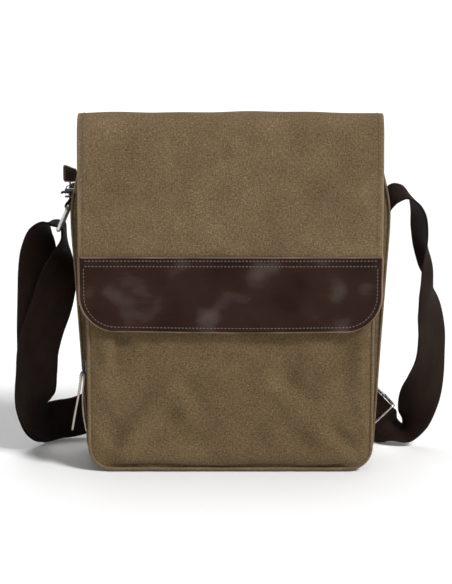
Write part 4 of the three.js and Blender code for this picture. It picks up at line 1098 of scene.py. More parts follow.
def main_zip():
    """The main zip's two sides: each a strip of cloth, from its wall to a row of teeth."""
    lean = LEAN * ZIP_Z
    rows, cols = 60, 14
    for name, sign, wall in (("front", -1, BODY_WALL + 2 + lean), ("rear", 1, BODY_BACK - 3 + lean)):
        body = f"main_zip_{name}_side"
        start = ZIP_MEET + [0.4, sign * 0.9]
        end = np.array([ZIP_RIGHT, ZIP_OPEN[name]])
        edge = start + (end - start) * np.linspace(0, 1, rows)[:, None]
        x, reach = edge[:, 0], edge[:, 1] - wall
        # the closed line is this far from the wall, and the cloth between them sags when the zip is open
        full = np.abs(zip_y(x) - wall)
        depth = 0.36 * np.sqrt(np.clip(full**2 - reach**2, 0, None)) * 0.85
        v = np.linspace(0, 1, cols)
        bell = np.sin(np.pi * np.clip(v / 0.86, 0, 1)) ** 0.8
        ripple = 1 + 0.12 * np.sin(x / 11.0)[:, None]
        p = np.zeros((rows, cols, 3))
        p[:, :, 0] = x[:, None]
        p[:, :, 1] = wall + reach[:, None] * v[None]
        p[:, :, 2] = ZIP_Z + 0.35 - depth[:, None] * bell[None] * ripple
        b = shell(Build(), p[:, ::-sign], TAPE_THICK)
        piece(f"main_zip_{name}_cloth", b, ZIP_TAPE, replaces=f"main_zip_tape_{name}",
              blend=("bag", body, (0, wall - 0.2 * sign, ZIP_Z), (0, wall + reach[rows // 2] * 0.9, ZIP_Z)))
        c = Build()
        tooth_row(c, resample([(*start, ZIP_Z), (*end, ZIP_Z)], step=TOOTH_PITCH), sign, 0.75, 1.5)
        piece(f"main_zip_{name}_teeth", c, TEETH, body, f"main_zip_coil_{name}")
    main_zip_tail()
    main_zip_slider()


def main_zip_tail():
    """The closed end of the zip, past the gusset: two strips of tape with teeth between, sewn at the end."""
    x = np.linspace(-157, ZIP_MEET[0] + 1.5, 16)
    b, c = Build(), Build()
    for sign in (-1, 1):
        p = np.zeros((len(x), 5, 3))
        p[:, :, 0] = x[:, None]
        p[:, :, 1] = zip_y(x)[:, None] + np.linspace(sign * 1.1, sign * 6.2, 5)[None, ::sign]
        p[:, :, 2] = ZIP_Z + 0.4 + 0.12 * np.sin(x / 2.3)[:, None]
        shell(b, p[::-1], 0.8)
        path = resample([(a, zip_y(a), ZIP_Z) for a in (x[0] + 3, x[-1])], step=TOOTH_PITCH)
        path[:, 0] += sign * 0.5
        tooth_row(c, path, sign, 1.6, 1.4)
    block(b, (-1.4, -6.4, -0.7), (0.8, 6.4, 0.7), 0.3, at=(x[0], zip_y(x[0]), ZIP_Z))
    piece("main_zip_tail_tape", b, ZIP_TAPE, "bag", "main_zip_tail")
    piece("main_zip_tail_teeth", c, TEETH, "bag")


def main_zip_slider():
    """The slider, and a short thick leather tab that is cut at a slant across its top and stitched round."""
    x, y = -150.0, zip_y(-150.0)
    b = Build()
    slider_body(b, np.eye(3), (x, y, ZIP_Z + 1.7), 5, 4.4, 1.5, 4.3, double=True)
    piece("main_slider", b, ZIP_METAL, "main_zip_slider", "main_zip_slider")
    half, low, high = 5.6, 10.6, 23
    share = np.linspace(-1, 1, 9)[None]
    rise = np.linspace(0, 1, 16)[:, None]
    across = share * (half - 0.7 * np.clip(1 - np.minimum(rise, 1 - rise) * 10, 0, 1))
    p = np.stack([x + across, y - 1.2 - 0.25 * np.cos(share * 1.4) * np.ones_like(rise),
                  ZIP_Z + low + rise * (high - 2 * across / half - low)], axis=2)
    b = shell(Build(), p, 2.5, rim=1, wear_width=1.0)
    piece("main_pull", b, [LEATHER, LEATHER_EDGE], "main_zip_pull", "main_zip_pull")
    s = Build()
    for face, sign in ((y - 1.45, -1), (y + 1.2, 1)):
        line = [(x + a, face, ZIP_Z + z) for a, z in ((-4.2, 12.2), (-4.2, 22.4), (4.2, 19.6), (4.2, 12.2))]
        stitch_row(s, resample(line, step=0.6), (0, sign, 0), pitch=2.4, length=1.7, radius=0.2)
    piece("main_pull_stitches", s, DARK_THREAD, "main_zip_pull")


# ---------------------------------------------------------------- back pocket zip
def back_zip():
    """The zip across the back: a surround turned in along its slot, tape, teeth, slider and pull."""
    z0 = 236.0
    face = BODY_BACK + 0.65 + LEAN * z0
    tilted = lambda p: np.concatenate(
        [p[..., :1], p[..., 1:2] + LEAN * (p[..., 2:] - z0), p[..., 2:]], axis=-1)

    def ring(half_x, half_z, y):
        """One loop round the slot."""
        x, z = rounded_box(np.linspace(0, 2 * np.pi, 73)[:-1], half_x, half_z, 0.22)
        return np.stack([x, np.full(len(x), y), z0 + z], axis=1)

    rings = [ring(98 - k * 8 / 6, 13 - k * 7 / 6, face + 0.15 + 1.05 * math.sin(math.pi * min(1, 0.12 + k / 6.3)))
             for k in range(7)]
    p = tilted(np.array(rings))
    b = shell(Build(), p[:, ::-1], 1.0, wrap=True, uv=flat_uv(p[:, ::-1]))
    piece("back_pocket_surround", b, CANVAS, "bag", "back_pocket_welt")
    s = Build()
    for half_x, half_z in ((96.2, 11.2), (92.6, 8.2)):
        line = tilted(ring(half_x, half_z, face + 1.32))
        stitch_row(s, np.vstack([line, line[:1]]), (0, 1, 0.035), lift=0.0)
    x = np.linspace(-89.5, 89.5, 60)
    z = np.linspace(-5.9, 5.9, 7)
    tape = np.stack(np.broadcast_arrays(x[None], face + 0.75, z0 + z[:, None]), axis=2)
    b = shell(Build(), tilted(tape)[:, ::-1], TAPE_THICK)
    piece("back_pocket_tape", b, ZIP_TAPE, "bag", "back_zip_tape")
    c = Build()
    for sign in (-1, 1):
        for a in np.arange(-88 + sign * 0.52, 88, TOOTH_PITCH):
            q = np.array([a, face + 1.35 + LEAN * sign * 0.8, z0 + sign * 0.85])
            block_tooth(c, q, np.array([1.0, 0, 0]), UP_Y, -sign * UP_Z, (1.2, 0.95, 2.2))
    piece("back_pocket_teeth", c, TEETH, "bag", "back_zip_coil")
    piece("back_pocket_stitches", s, THREAD, "bag")
    x, y = -78.0, face + 2.6
    b = Build()
    slider_body(b, [(1, 0, 0), (0, 0, -1), (0, 1, 0)], (x, y, z0), 6, 4, 1.4, 4.1)
    piece("back_slider", b, ZIP_METAL, "back_zip_slider", "back_zip_slider")
    fold = [(4.6, -44), (4.9, -24), (5.5, -8), (5.85, 0), (5.34, 1.24), (4.1, 1.75), (2.86, 1.24), (2.35, 0),
            (2.5, -3), (3.4, -8), (3.4, -16)]
    strip_pull("back_pull", [(x, y + a, z0 + c) for a, c in fold], (1, 0, 0), 4.6, 0.8, "back_zip_pull",
               "back_zip_pull", stitched=False)


# ---------------------------------------------------------------- flap
_t = np.linspace(0, 1, 900)
_line = curve(FLAP_LINE, 900)  # y, z
_length = lengths_along(_line)
_along = unit(np.gradient(_line, axis=0))
_out = np.stack([-_along[:, 1], _along[:, 0]], axis=1) * -1
JOIN = float(np.interp(3 / 15, _t, _length))  # the flap's two objects meet here, on its top
BAND = float(np.interp(13 / 15, _t, _length))  # the top of the leather band
TOTAL = float(_length[-1])
BAND_FACE = 2.22  # how far the band's face stands out from the canvas's
EDGE_TO_STITCH = 4.4


def flap_half(z, front, inset):
    """Half width of the flap at a height, with rounded corners where it is at the front."""
    w, r = FLAP_HALF - inset, FLAP_CORNER - inset
    below = np.clip(FLAP_HEM + inset + r - z, 0, r)
    return np.where(front, w - r + np.sqrt(np.clip(r * r - below * below, 0, None)), w)


FLAP_DENTS = [
    # x, distance below the band's top, depth, width
    (-112, 24, 1.5, 15), (-70, 50, 1.3, 12), (-34, 40, 1.6, 13), (-8, 58, 1.2, 10), (34, 26, 1.2, 16),
    (78, 52, 1.2, 13), (110, 22, 1.1, 14), (-52, 14, -0.9, 14), (10, 34, -0.9, 12), (64, 12, -0.8, 16),
    (-84, -46, 1.2, 26), (-20, -70, 1.0, 30), (58, -52, 1.2, 26), (104, -96, 1.1, 22), (20, -28, -0.8, 24),
    (-116, -100, 1.0, 20)]


def flap_wave(x, s):
    """How far the flap stands out at x and at the length s from its back seam."""
    fall = (s - JOIN) / (BAND - JOIN)
    out = relief("flap", (x + 140) / 280, (1 - fall), -0.7, 1.5)
    out = out * smooth((s - JOIN - 42) / 40)
    out = out * np.where(s > BAND, 1 - 0.6 * smooth((s - BAND) / 20), 1.0)
    out = out + 0.55 * np.sin(x / 37.0 + 0.6) * smooth((s - BAND + 40) / 60)
    out = out - 0.525 * smooth((np.abs(x) - 112) / 28) * smooth((s - JOIN - 60) / 60)
    for dent_x, down, depth, width in FLAP_DENTS:
        out = out - depth * np.exp(-((x - dent_x) / width) ** 2 - ((s - BAND - down) / (0.8 * width)) ** 2)
    return out


def flap_points(x, s, outward):
    """Points of the flap's outer face moved outward, at x and at lengths s."""
    y, z = (np.interp(s, _length, _line[:, k]) for k in (0, 1))
    ny, nz = (np.interp(s, _length, _out[:, k]) for k in (0, 1))
    d = outward + flap_wave(x, s)
    z_drop = -1.6 * smooth((s - BAND) / (TOTAL - BAND)) * np.cos(x / 89.0 - 0.15)
    top = smooth((s - 18) / 24) * smooth((JOIN + 50 - s) / 22)
    z_drop = z_drop + top * (0.55 * np.sin(x / 26.0 + 0.4) + 0.3 * np.sin(x / 9.7) - 1.7 * (np.abs(x) / 140) ** 5)
    return np.stack([x, y + ny * d, z + nz * d + z_drop], axis=-1)


def flap_sheet(s, inset, outward, cols=90):
    """A grid of points of the flap at lengths s, and its UVs."""
    y, z = (np.interp(s, _length, _line[:, k]) for k in (0, 1))
    x = flap_half(z, y < -40, inset)[:, None] * spread(cols, 0.9)[None]
    ss = np.repeat(s[:, None], cols, axis=1)
    return flap_points(x, ss, outward), np.stack([x, ss], axis=2) * MM


def front_lengths(start, inset, step):
    """Lengths from start to the hem, close together where the corners turn."""
    hem = TOTAL - inset
    r = FLAP_CORNER - inset
    arc = hem - r * (1 - np.cos(np.linspace(0, np.pi / 2, 14)))[::-1]
    return np.r_[np.arange(start, arc[0] - 1, step), arc]


FOLD_BLEND = ("flap_top", "flap_front", (0, -29, 337.5), (0, -43, 324))
SEAM_BLEND = ("bag", "flap_top", (0, 37, 316), (0, 35.5, 329))


def seam_tail(p, uv):
    """Adds the part of the canvas that runs down under the seam strip."""
    tail = np.array([(37.35, 306.0), (37.2, 311.0), (37.1, 316.0), (37.25, 320.0)])
    x = p[0, :, 0]
    first = np.stack([np.stack([x, np.full_like(x, y), np.full_like(x, z)], axis=1) for y, z in tail])
    v = -np.linalg.norm(tail - p[0, 0, 1:], axis=1)
    below = np.stack([np.repeat(x[None], 4, axis=0), np.repeat(v[:, None], len(x), axis=1)], axis=2) * MM
    return np.concatenate([first, p]), np.concatenate([below, uv])


def flap_cloths():
    """Canvas and lining: the back part ends in the middle of the top, the front part folds down to the hem."""
    for part, prefix, blend, open_row in (("back", "flap_top_", SEAM_BLEND, -1), ("front", "flap_", FOLD_BLEND, 0)):
        for ending, depth, thickness, inset, materials, slot in (
                ("", 0.0, 1.4, 0.0, [CANVAS, CANVAS_BACK], "canvas"),
                ("_lining", -1.5, 0.9, 3.0, [LINING, LINING], "lining")):
            back = part == "back"
            s = np.r_[np.arange(0, JOIN, 3.0), JOIN] if back else front_lengths(JOIN, inset, 3.0)
            p, uv = flap_sheet(s, inset, depth)
            if back and slot == "canvas":
                p, uv = seam_tail(p, uv)
            b = shell(Build(), p[:, ::-1], thickness, uv=uv[:, ::-1], inner=1, open_rows=(open_row,))
            piece(f"flap_{part}_part{ending}", b, materials, replaces=prefix + slot, blend=blend)


def band_sides_and_hem(lengths, inset, trim, low, cols):
    """A path on the band's face, down its left side, along its hem and up its right side."""
    half = flap_half(np.interp(lengths, _length, _line[:, 1]), True, inset) - trim
    left, right = (flap_points(sign * half, lengths, BAND_FACE) for sign in (-1, 1))
    x = np.linspace(FLAP_CORNER - FLAP_HALF, FLAP_HALF - FLAP_CORNER, cols)
    hem = flap_points(x, np.full(cols, TOTAL - low), BAND_FACE)
    return np.vstack([left, hem[1:-1], right[::-1]])


def leather_band():
    """The band, whose rim and a fine line along it are rubbed paler, and its stitches."""
    lengths = np.r_[BAND, BAND + 0.9, front_lengths(BAND + 3, 0.0, 3.0)]
    p, uv = flap_sheet(lengths, 0.0, 2.2, cols=110)
    p[0, :, 1] += 0.4
    b = shell(Build(), p[:, ::-1], 2.1, uv=uv[:, ::-1], inner=1, rim=1, wear_width=1.3)
    piece("leather_band", b, [LEATHER, LEATHER_EDGE], "flap_front", "leather_band")
    top_x = np.linspace(FLAP_HALF - 0.4, -FLAP_HALF + 0.4, 90)
    top = flap_points(top_x, np.full(90, BAND + 0.3), BAND_FACE)
    loop = np.vstack([band_sides_and_hem(lengths, 0.0, 0.35, 0.3, 60), top[1:-1]])
    b = tube(Build(), resample(loop, step=2.4, closed=True), 0.62, 8, closed=True)
    piece("leather_band_raw_edge", b, LEATHER_EDGE, "flap_front")
    # two rows below its top, one round its sides and hem
    s = Build()
    normal = (0, -1, 0)
    for down in (3.2, 8.2):
        x = np.linspace(-FLAP_HALF + 4.2, FLAP_HALF - 4.2, 240)
        stitch_row(s, flap_points(x, np.full(240, BAND + down), BAND_FACE), normal)
    lengths = front_lengths(BAND + 9.5, EDGE_TO_STITCH, 2.0)
    stitch_row(s, band_sides_and_hem(lengths, EDGE_TO_STITCH, 0.0, EDGE_TO_STITCH, 120), normal)
    piece("leather_band_stitches", s, DARK_THREAD, "flap_front")


def flap_side_stitches():
    """One row down each side of the canvas."""
    for part, start, end, blend in (("front", JOIN, BAND - 1, FOLD_BLEND), ("back", 2.0, JOIN, SEAM_BLEND)):
        lengths = np.arange(start, end, 2.0)
        ny, nz = (np.interp(lengths, _length, _out[:, k]) for k in (0, 1))
        normals = np.stack([np.zeros(len(lengths)), ny, nz], axis=1)
        s = Build()
        for sign in (-1, 1):
            x = np.full(len(lengths), sign * (FLAP_HALF - 4.6))
            stitch_row(s, flap_points(x, lengths, 0.0), normals)
        piece(f"flap_{part}_side_stitches", s, THREAD, blend=blend)


def seam_strip():
    """The strip that covers the seam of the flap, on the back."""
    x = np.linspace(132, -132, 70)
    face = BODY_BACK + 0.35
    profile = np.array([(292, 0.5), (293, 1.2), (296, 1.5), (305, 1.55), (314, 1.5), (317.4, 1.2), (318.4, 0.5)])
    p = np.zeros((len(profile), len(x), 3))
    p[:, :, 0] = x[None]
    p[:, :, 1] = face + LEAN * profile[:, :1] + profile[:, 1:] + 0.12 * np.sin(x / 11)[None]
    p[:, :, 2] = profile[:, :1]
    b = shell(Build(), p, 0.9, uv=flat_uv(p))
    piece("seam_strip", b, CANVAS, "bag", "flap_seam_strip")
    s = Build()
    for z in (295.4, 315.0):
        line = np.stack([x, np.full_like(x, face + LEAN * z + 1.5), np.full_like(x, z)], axis=1)
        stitch_row(s, line, (0, 1, 0))
    piece("seam_strip_stitches", s, THREAD, "bag")


# ---------------------------------------------------------------- snaps, rivets, ring, slider
def snaps():
    """Magnetic snaps: sockets on the front panel and studs under the flap, as [radius, height]."""
    socket = [(9, 0), (9, 0.5), (8.4, 0.95), (7.4, 1.1), (6.6, 0.95), (6.2, 0.6), (3.6, 0.5), (3.3, 1.0),
              (2.9, 1.1), (2.6, 0.6), (0.4, 0.5)]
    stud = [(9, 0), (9, 0.5), (8.3, 0.95), (5.2, 1.05), (4.6, 0.8), (2.6, 0.8), (2.4, 1.5), (1.8, 1.7), (0.3, 1.7)]
    for name, x in (("left", -72.0), ("right", 72.0)):
        for kind, profile, y, way, body in (("socket", socket, -45.5, -1, "bag"),
                                            ("stud", stud, -49.1, 1, "flap_front")):
            b = turned(Build(), profile, (x, y, 172.0), way * UP_Y, 48)
            piece(f"snap_{name}_{kind}_cap", b, NICKEL, body, f"snap_{name}_{kind}")


def rivets():
    """The two rivets, from inside the gusset to the outside of the layers that each one holds."""
    axis = unit(PIVOT_RIGHT - PIVOT_LEFT)
    for name, pivot, side, stack in (("left", PIVOT_LEFT, -1, 6.6), ("right", PIVOT_RIGHT, 1, 3.9)):
        skin = side * float(np.interp(pivot[2], _swell[:, 1], _swell[:, 0])) - pivot[0]
        inside, outside = skin - side * 4.4, skin + side * (stack + 1.2)
        r = abs(outside - inside)
        profile = [(0.4, -0.35), (3.0, -0.2), (4.7, 0.1), (5.0, 0.6), (4.8, 1.2), (2.0, 1.25), (2.0, r - 1.3),
                   (4.0, r - 1.2), (4.2, r - 0.8), (3.9, r - 0.25), (2.8, r + 0.12), (1.4, r + 0.28), (0.3, r + 0.3)]
        b = turned(Build(), profile, pivot + axis * inside, side * axis, 40)
        piece(f"rivet_{name}_turned", b, NICKEL, "bag", f"rivet_{name}")


TAB_X, TAB_TOP, TAB_THICK = -149.9, 265.0, 1.6
RING_TOP = np.array([TAB_X - RING_WIRE - RING_PLAY - TAB_THICK / 2, PIVOT_LEFT[1], 247.0])
RING_DOWN = np.array([-math.sin(RING_TILT), 0, -math.cos(RING_TILT)])
RING_BOTTOM = RING_TOP + RING_DOWN * RING_LENGTH


def left_ring():
    """A rectangular ring of wire with rounded corners."""
    half, bend = 21 + RING_WIRE, 4.0
    points = []
    for side, end, start in ((-1, 0, 1), (1, 0, 1.5), (1, 1, 0), (-1, 1, 0.5)):
        for i in range(9):
            a = (start + i / 16) * math.pi
            w = side * (half - bend) + bend * math.cos(a)
            d = end * RING_LENGTH + (-bend if end else bend) + bend * math.sin(a)
            points.append(RING_TOP + UP_Y * w + RING_DOWN * d)
    path = resample(np.array(points), step=1.2, closed=True)
    b = tube(Build(), path, RING_WIRE, 20, closed=True, normal=np.cross(RING_DOWN, UP_Y))
    piece("ring", b, NICKEL, "strap", "ring_left")


def ribbon(build, stations, width, thickness, steps, bow_of=None):
    """Webbing along stations [x, y, z, wx, wy, wz]."""
    p, w, v = ribbon_frames(np.asarray(stations, float), steps)
    bow = bow_of(p) if bow_of else None
    sweep(build, p, w, v, webbing_section(width, thickness), bow=bow)


def ribbon_frames(stations, steps):
    """Points, width directions and outward directions along stations."""
    p, w = curve(stations[:, :3], steps + 1, True), curve(stations[:, 3:], steps + 1)
    ahead, behind = (np.array([catmull(stations[:, :3], t + d, True) for t in np.linspace(0, 1, steps + 1)])
                     for d in (1e-4, -1e-4))
    tangent = unit(ahead - behind)
    w = unit(w - tangent * np.sum(w * tangent, axis=1, keepdims=True))
    return p, w, np.cross(tangent, w)


def left_tab():
    """The webbing tab that holds the ring: both ends are riveted to the left gusset."""
    r = RING_TOP[0] - TAB_X
    y = PIVOT_LEFT[1]
    fold = [(RING_TOP[0] - r * math.cos(a), y, RING_TOP[2] + r * math.sin(a)) for a in np.linspace(0, math.pi, 7)]
    outer = TAB_X - TAB_THICK - RING_PLAY
    path = [(TAB_X, y, TAB_TOP), (TAB_X, y, 256), *fold, (RING_TOP[0] + r + 1, y, 249.4),
            (outer - 0.7, y, 251.8), (outer, y, 255), (outer, y, TAB_TOP)]
    b = Build()
    ribbon(b, [(*q, 0, 1, 0) for q in path], 39, TAB_THICK, 88)
    piece("ring_tab", b, WEBBING, "strap", "tab_left")
    s = Build()
    x = outer - TAB_THICK / 2
    half = 16.5
    for z in (253.6, 262.6):
        row = [(x, y + a, z) for a in np.linspace(-half, half, 40)]
        stitch_row(s, row, (-1, 0, 0), lift=0.25)
    for a in (-half, half):
        stitch_row(s, resample([(x, y + a, 254.5), (x, y + a, 262)], step=0.7), (-1, 0, 0), lift=0.25)
    piece("ring_tab_stitches", s, DARK_THREAD, "strap")


# the strap's middle line and the direction of its width, [x, y, z, wx, wy, wz]
FROM_RIGHT = [  # from its right end, down to the slider
    [150.4, 35.5, 219, 0, -0.89, -0.45], [150.4, 28.8, 232.5, 0, -0.89, -0.45], [150.4, 22, 246, 0, -0.89, -0.45],
    [152.1, 18.6, 252.6, 0, -0.89, -0.45], [158, 16.4, 257.4, 0.02, -0.93, -0.35],
    [166.5, 16, 258, 0.06, -0.97, -0.2],
    [174.5, 17, 251.5, 0.16, -0.97, -0.14], [180, 18.5, 239, 0.26, -0.96, -0.08], [181.5, 21, 221, 0.3, -0.95, 0],
    [182, 25, 200, 0.2, -0.98, 0], [184, 29, 180, -0.05, -0.99, 0.04], [188.5, 32.5, 162, -0.4, -0.92, 0],
    [194.2, 36.5, 141, -0.64, -0.77, 0], [198, 41, 115, -0.72, -0.69, 0], [197.5, 46, 90, -0.78, -0.62, 0.05],
    [193.5, 51, 66, -0.92, -0.3, 0.2], [188.2, 54.5, 46, -0.9, 0.22, 0.33], [183, 58, 27, -0.65, 0.6, 0.47],
    [177, 61, 14.5, -0.15, 0.85, 0.5], [170, 63.5, 10, 0.2, 0.95, 0.2], [162, 66.3, 11.2, 0.45, 0.8, 0.38]]
SLIDER_AT = np.array([140.2, 68, 30.3])
RUN = unit([-1, 0, 1])
RUN_ACROSS = unit([1, 0, 1])
BEHIND = [[*(SLIDER_AT + RUN * a), *RUN_ACROSS] for a in (-18, -14.5, 30, 64, 72)] + [
    [71, 69, 95, 0.5, 0, 0.86], [48, 72, 102, 0.2, 0, 0.98], [18, 76, 100, -0.1, 0, 1],
    [-16, 79, 89, -0.28, 0, 0.96], [-50, 80, 74, -0.36, 0, 0.93], [-84, 80, 58, -0.38, 0, 0.92],
    [-115, 80, 41.5, -0.34, 0, 0.94],
    [-138, 78.5, 29, -0.22, 0, 0.97], [-156, 76, 22.4, -0.05, 0, 1]]
TO_RING = [  # up the left side to the ring
    [-172, 71, 20.8, 0, 0, 1], [-181, 61, 21, -0.05, 0, 1], [-186, 48, 24, 0.05, 0.2, 0.95],
    [-190, 34, 33, 0.35, 0.5, 0.78], [-191, 24, 48, 0.75, 0.5, 0.4], [-189.5, 17, 66, 0.95, 0.2, 0.1],
    [-188, 12, 84, 0.99, 0.05, 0], [-186.5, 9, 102, 0.99, 0, -0.1], [-181, 8, 125, 0.95, 0.05, -0.3],
    [-172, 8.5, 150, 0.9, 0.15, -0.38], [-165.5, 12, 175, 0.8, 0.5, -0.25], [-161.5, 16.5, 198, 0.4, 0.9, -0.1],
    [-160, 18.6, 212, 0.05, 1, 0]]
FROM_RING = [  # back down the left side
    [-168.5, 19, 228.4, 0.05, 1, 0], [-176, 18.8, 228, 0.2, 0.97, -0.1], [-181.8, 18.2, 220, 0.5, 0.85, -0.1],
    [-184.3, 17.3, 203, 0.78, 0.6, -0.1], [-185, 16.5, 182, 0.93, 0.35, 0],
    [-185.5, 15.5, 156, 0.97, 0.2, -0.1], [-186.5, 15, 128, 0.98, 0.1, -0.1],
    [-187, 15.8, 106, 0.99, 0, -0.05]]
# then back along the first layer: how far outside it, at each of its stations
SECOND_LAYER = [5.6, 5.4, 5.4, 5.4, 5, 4, 3.4, 3, 3.2, 3.6, 4, 4, 4, 4.6, 6, 8, 9.4]
STEPS = 7  # sections of webbing for each station


def strap_bow(p):
    """How far the webbing's middle stands out where it twists at the right, free of the bag."""
    return -12.0 * np.exp(-((p[:, 2] - 182) / 32) ** 2) * (p[:, 0] > 170)


def strap():
    """The strap's webbing: one length from the right rivet, behind the bag, round the ring and back behind
    it, and its end run, which is sewn on to the slider."""
    around = []
    for degrees in (-5, 20, 45, 70, 90):
        a = math.radians(degrees)
        r = RING_WIRE + RING_PLAY + STRAP_THICK / 2
        around.append([RING_BOTTOM[0] + r * math.cos(a), RING_BOTTOM[1], RING_BOTTOM[2] + r * math.sin(a), 0, 1, 0])
    first = np.array(FROM_RIGHT + BEHIND + TO_RING, float)
    p, w, v = ribbon_frames(first, len(first) - 1)
    start = len(FROM_RIGHT) + len(BEHIND) + 6
    second = [[*(p[start - k] + v[start - k] * d), *w[start - k]] for k, d in enumerate(SECOND_LAYER)]
    stations = np.array([*first, *around, *FROM_RING, *second], float)
    b = Build()
    ribbon(b, stations, STRAP_WIDTH, STRAP_THICK, (len(stations) - 1) * STEPS, strap_bow)
    piece("strap_webbing", b, WEBBING, "strap",
          ("strap_right", "strap_behind_inner", "strap_left_inner", "strap_ring_turn", "strap_left_outer",
           "strap_behind_outer"))
    # from the second layer, which lies high outside the first, down to the turn round the slider's bar
    low, high = 4.35, SECOND_LAYER[-1]
    drop = lambda a: low + (high - low) * smooth((a - 26) / 40)
    path = [[*(SLIDER_AT + RUN * a + UP_Y * drop(a)), *RUN_ACROSS] for a in (72.5, 64, 56, 48, 40, 32, 25.4)]
    b = Build()
    ribbon(b, path, STRAP_WIDTH, STRAP_THICK, 42)
    obj = piece("strap_end_run", b, WEBBING, "strap")
    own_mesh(obj)
    # a box of stitches where the strap is riveted
    s = Build()
    half = 17.5
    q, side, up = ribbon_frames(np.array(FROM_RIGHT[:4], float), 30)
    for lane in (-half, half):
        stitch_row(s, q[1:19] + side[1:19] * lane - up[1:19], -up[1:19])
    for row in (1, 19):
        x = np.linspace(-half, half, 24)[:, None]
        stitch_row(s, q[row] + side[row] * x - up[row], -up[row])
    piece("strap_fixing_stitches", s, DARK_THREAD, "strap")


def strap_slider():
    """The wire slider, with low bars at its ends and a high one in its middle, and the strap's end round it."""
    at = lambda a, w, n: SLIDER_AT + RUN * a + RUN_ACROSS * w + UP_Y * n
    reach, half, wire = 12, 22, 1.6
    low, high = -2.85, 4.5
    b = Build()
    for a, n, r in ((-reach, low, wire), (reach, low, wire), (0, high, 1.5)):
        tube(b, [at(a, w, n) for w in np.linspace(-half, half, 12)], r, 16, normal=UP_Y)
    mid = (low + high) / 2
    line = [(-reach, low), (-reach / 2, mid), (0, high), (reach / 2, mid), (reach, low)]
    for side in (-half, half):
        tube(b, curve([at(a, side, n) for a, n in line], 30), wire, 16, normal=RUN_ACROSS)
        for a in (-reach, reach):
            ball(b, at(a, side, low), 1.66)
    piece("slider_frame", b, NICKEL, "strap_slider", "strap_slider")
    r = 2.45
    station = lambda a, n: [*at(a, 0, n), *RUN_ACROSS]
    turn = [station(-r * math.cos(t), high + r * math.sin(t)) for t in np.linspace(-0.5, 0.5, 5) * math.pi]
    wrap = [station(26, 3.3), station(12, 2.9), station(5, high - r), *turn, station(5, high + r),
            station(12, 5.9), station(26, 5.3)]
    b = Build()
    ribbon(b, wrap, STRAP_WIDTH - 1, 1.2, 70)
    piece("slider_wrap", b, WEBBING, "strap_slider", "strap_end_wrap")
    s = Build()
    for a in (15, 18.5):
        stitch_row(s, [at(a, w, 6.45 - (a - 12) * 0.04) for w in np.linspace(-17, 17, 40)], UP_Y, lift=0.2)
    piece("slider_wrap_stitches", s, DARK_THREAD, "strap_slider")


def ball(build, at, radius):
    """A rounded joint between two bars."""
    angles = np.linspace(0.02, math.pi - 0.02, 11)
    return turned(build, [(radius * math.sin(a), -radius * math.cos(a)) for a in angles], at, RUN_ACROSS, 16)


# ---------------------------------------------------------------- inside the main compartment
def lining_bag():
    """The cloth lining: an open bag that hangs in the main compartment."""
    inset = low = 5.4
    y0, y1 = BODY_WALL + 2.75, BODY_BACK - 3.45
    z = np.r_[low, 6.5, 9, 13, 19, 26, np.arange(36, 248, 9), 248]
    rows = []
    a = np.linspace(0, 2 * np.pi, 121)[:-1]
    for zz in z:
        half = min(float(body_half(max(zz - 3.0, 3.001))) + 0.6, float(body_half(zz))) - inset
        x, y = rounded_box(a, half, (y1 - y0) / 2 - 0.5, 0.16)
        ripple = 0.35 * np.sin(zz / 13.0 + a * 9) * smooth((zz - 8) / 30) * np.sign(np.sin(a))
        rows.append(np.stack([x, (y0 + y1) / 2 + y + LEAN * zz - ripple, np.full_like(x, zz)], axis=1))
    p = np.array(rows)
    b = shell(Build(), p, LINING_THICK, wrap=True)
    floor = p[0]
    centre = floor.mean(axis=0)
    cap = np.array([centre + (floor - centre) * k for k in (0.02, 0.35, 0.7, 1.0)])
    shell(b, cap[:, ::-1] + [0, 0, LINING_THICK], LINING_THICK, wrap=True)
    piece("lining_bag", b, LINING, "bag", "main_lining")


def divider():
    """The padded sleeve: two faces quilted together, bound along the top."""
    back = BODY_BACK - 4.25
    shape = (9, 225, 3, 10)  # bottom, top, lower and upper corner radius
    z = heights(*shape, 5.0)
    half = rounded_half(z, 120, *shape)
    mid = back - 15.0
    quilt = lambda x, zz: 0.75 * np.sqrt(np.abs(np.sin(x / 40 * np.pi) * np.sin((zz - 9) / 54 * np.pi)))
    b = Build()
    for sign in (-1, 1):
        face = upright_sheet(z, half, 72, lambda x, zz: mid + sign * (1.25 + quilt(x, zz)) + LEAN * zz)
        face[:, :, 1] -= sign * edge_dive(face, half, *shape[:2], 1.0, 4.0)
        face = face[:, ::-sign]
        shell(b, face, 1.0, uv=flat_uv(face))
    pad = piece("divider_pad", b, LINING, "bag", "padded_divider")
    right = np.stack([half, mid + LEAN * z, z], axis=1)
    line = resample(np.vstack([right, right[::-1] * [-1, 1, 1]]), step=4.0, closed=True)
    piece("divider_binding", tube(Build(), line, 1.5, 10, closed=True), WEBBING, "bag")

    q = lambda dy, zz: [0, back - dy + LEAN * zz, zz, 1, 0, 0]
    tab = [q(1.4, 238), q(4, 243), q(11, 240), q(17.6, 234), q(18.6, 222), q(18.6, 205)]
    b = Build()
    ribbon(b, tab, 28, 1.4, 40)
    piece("divider_tab", b, WEBBING, "bag", "sleeve_tab")


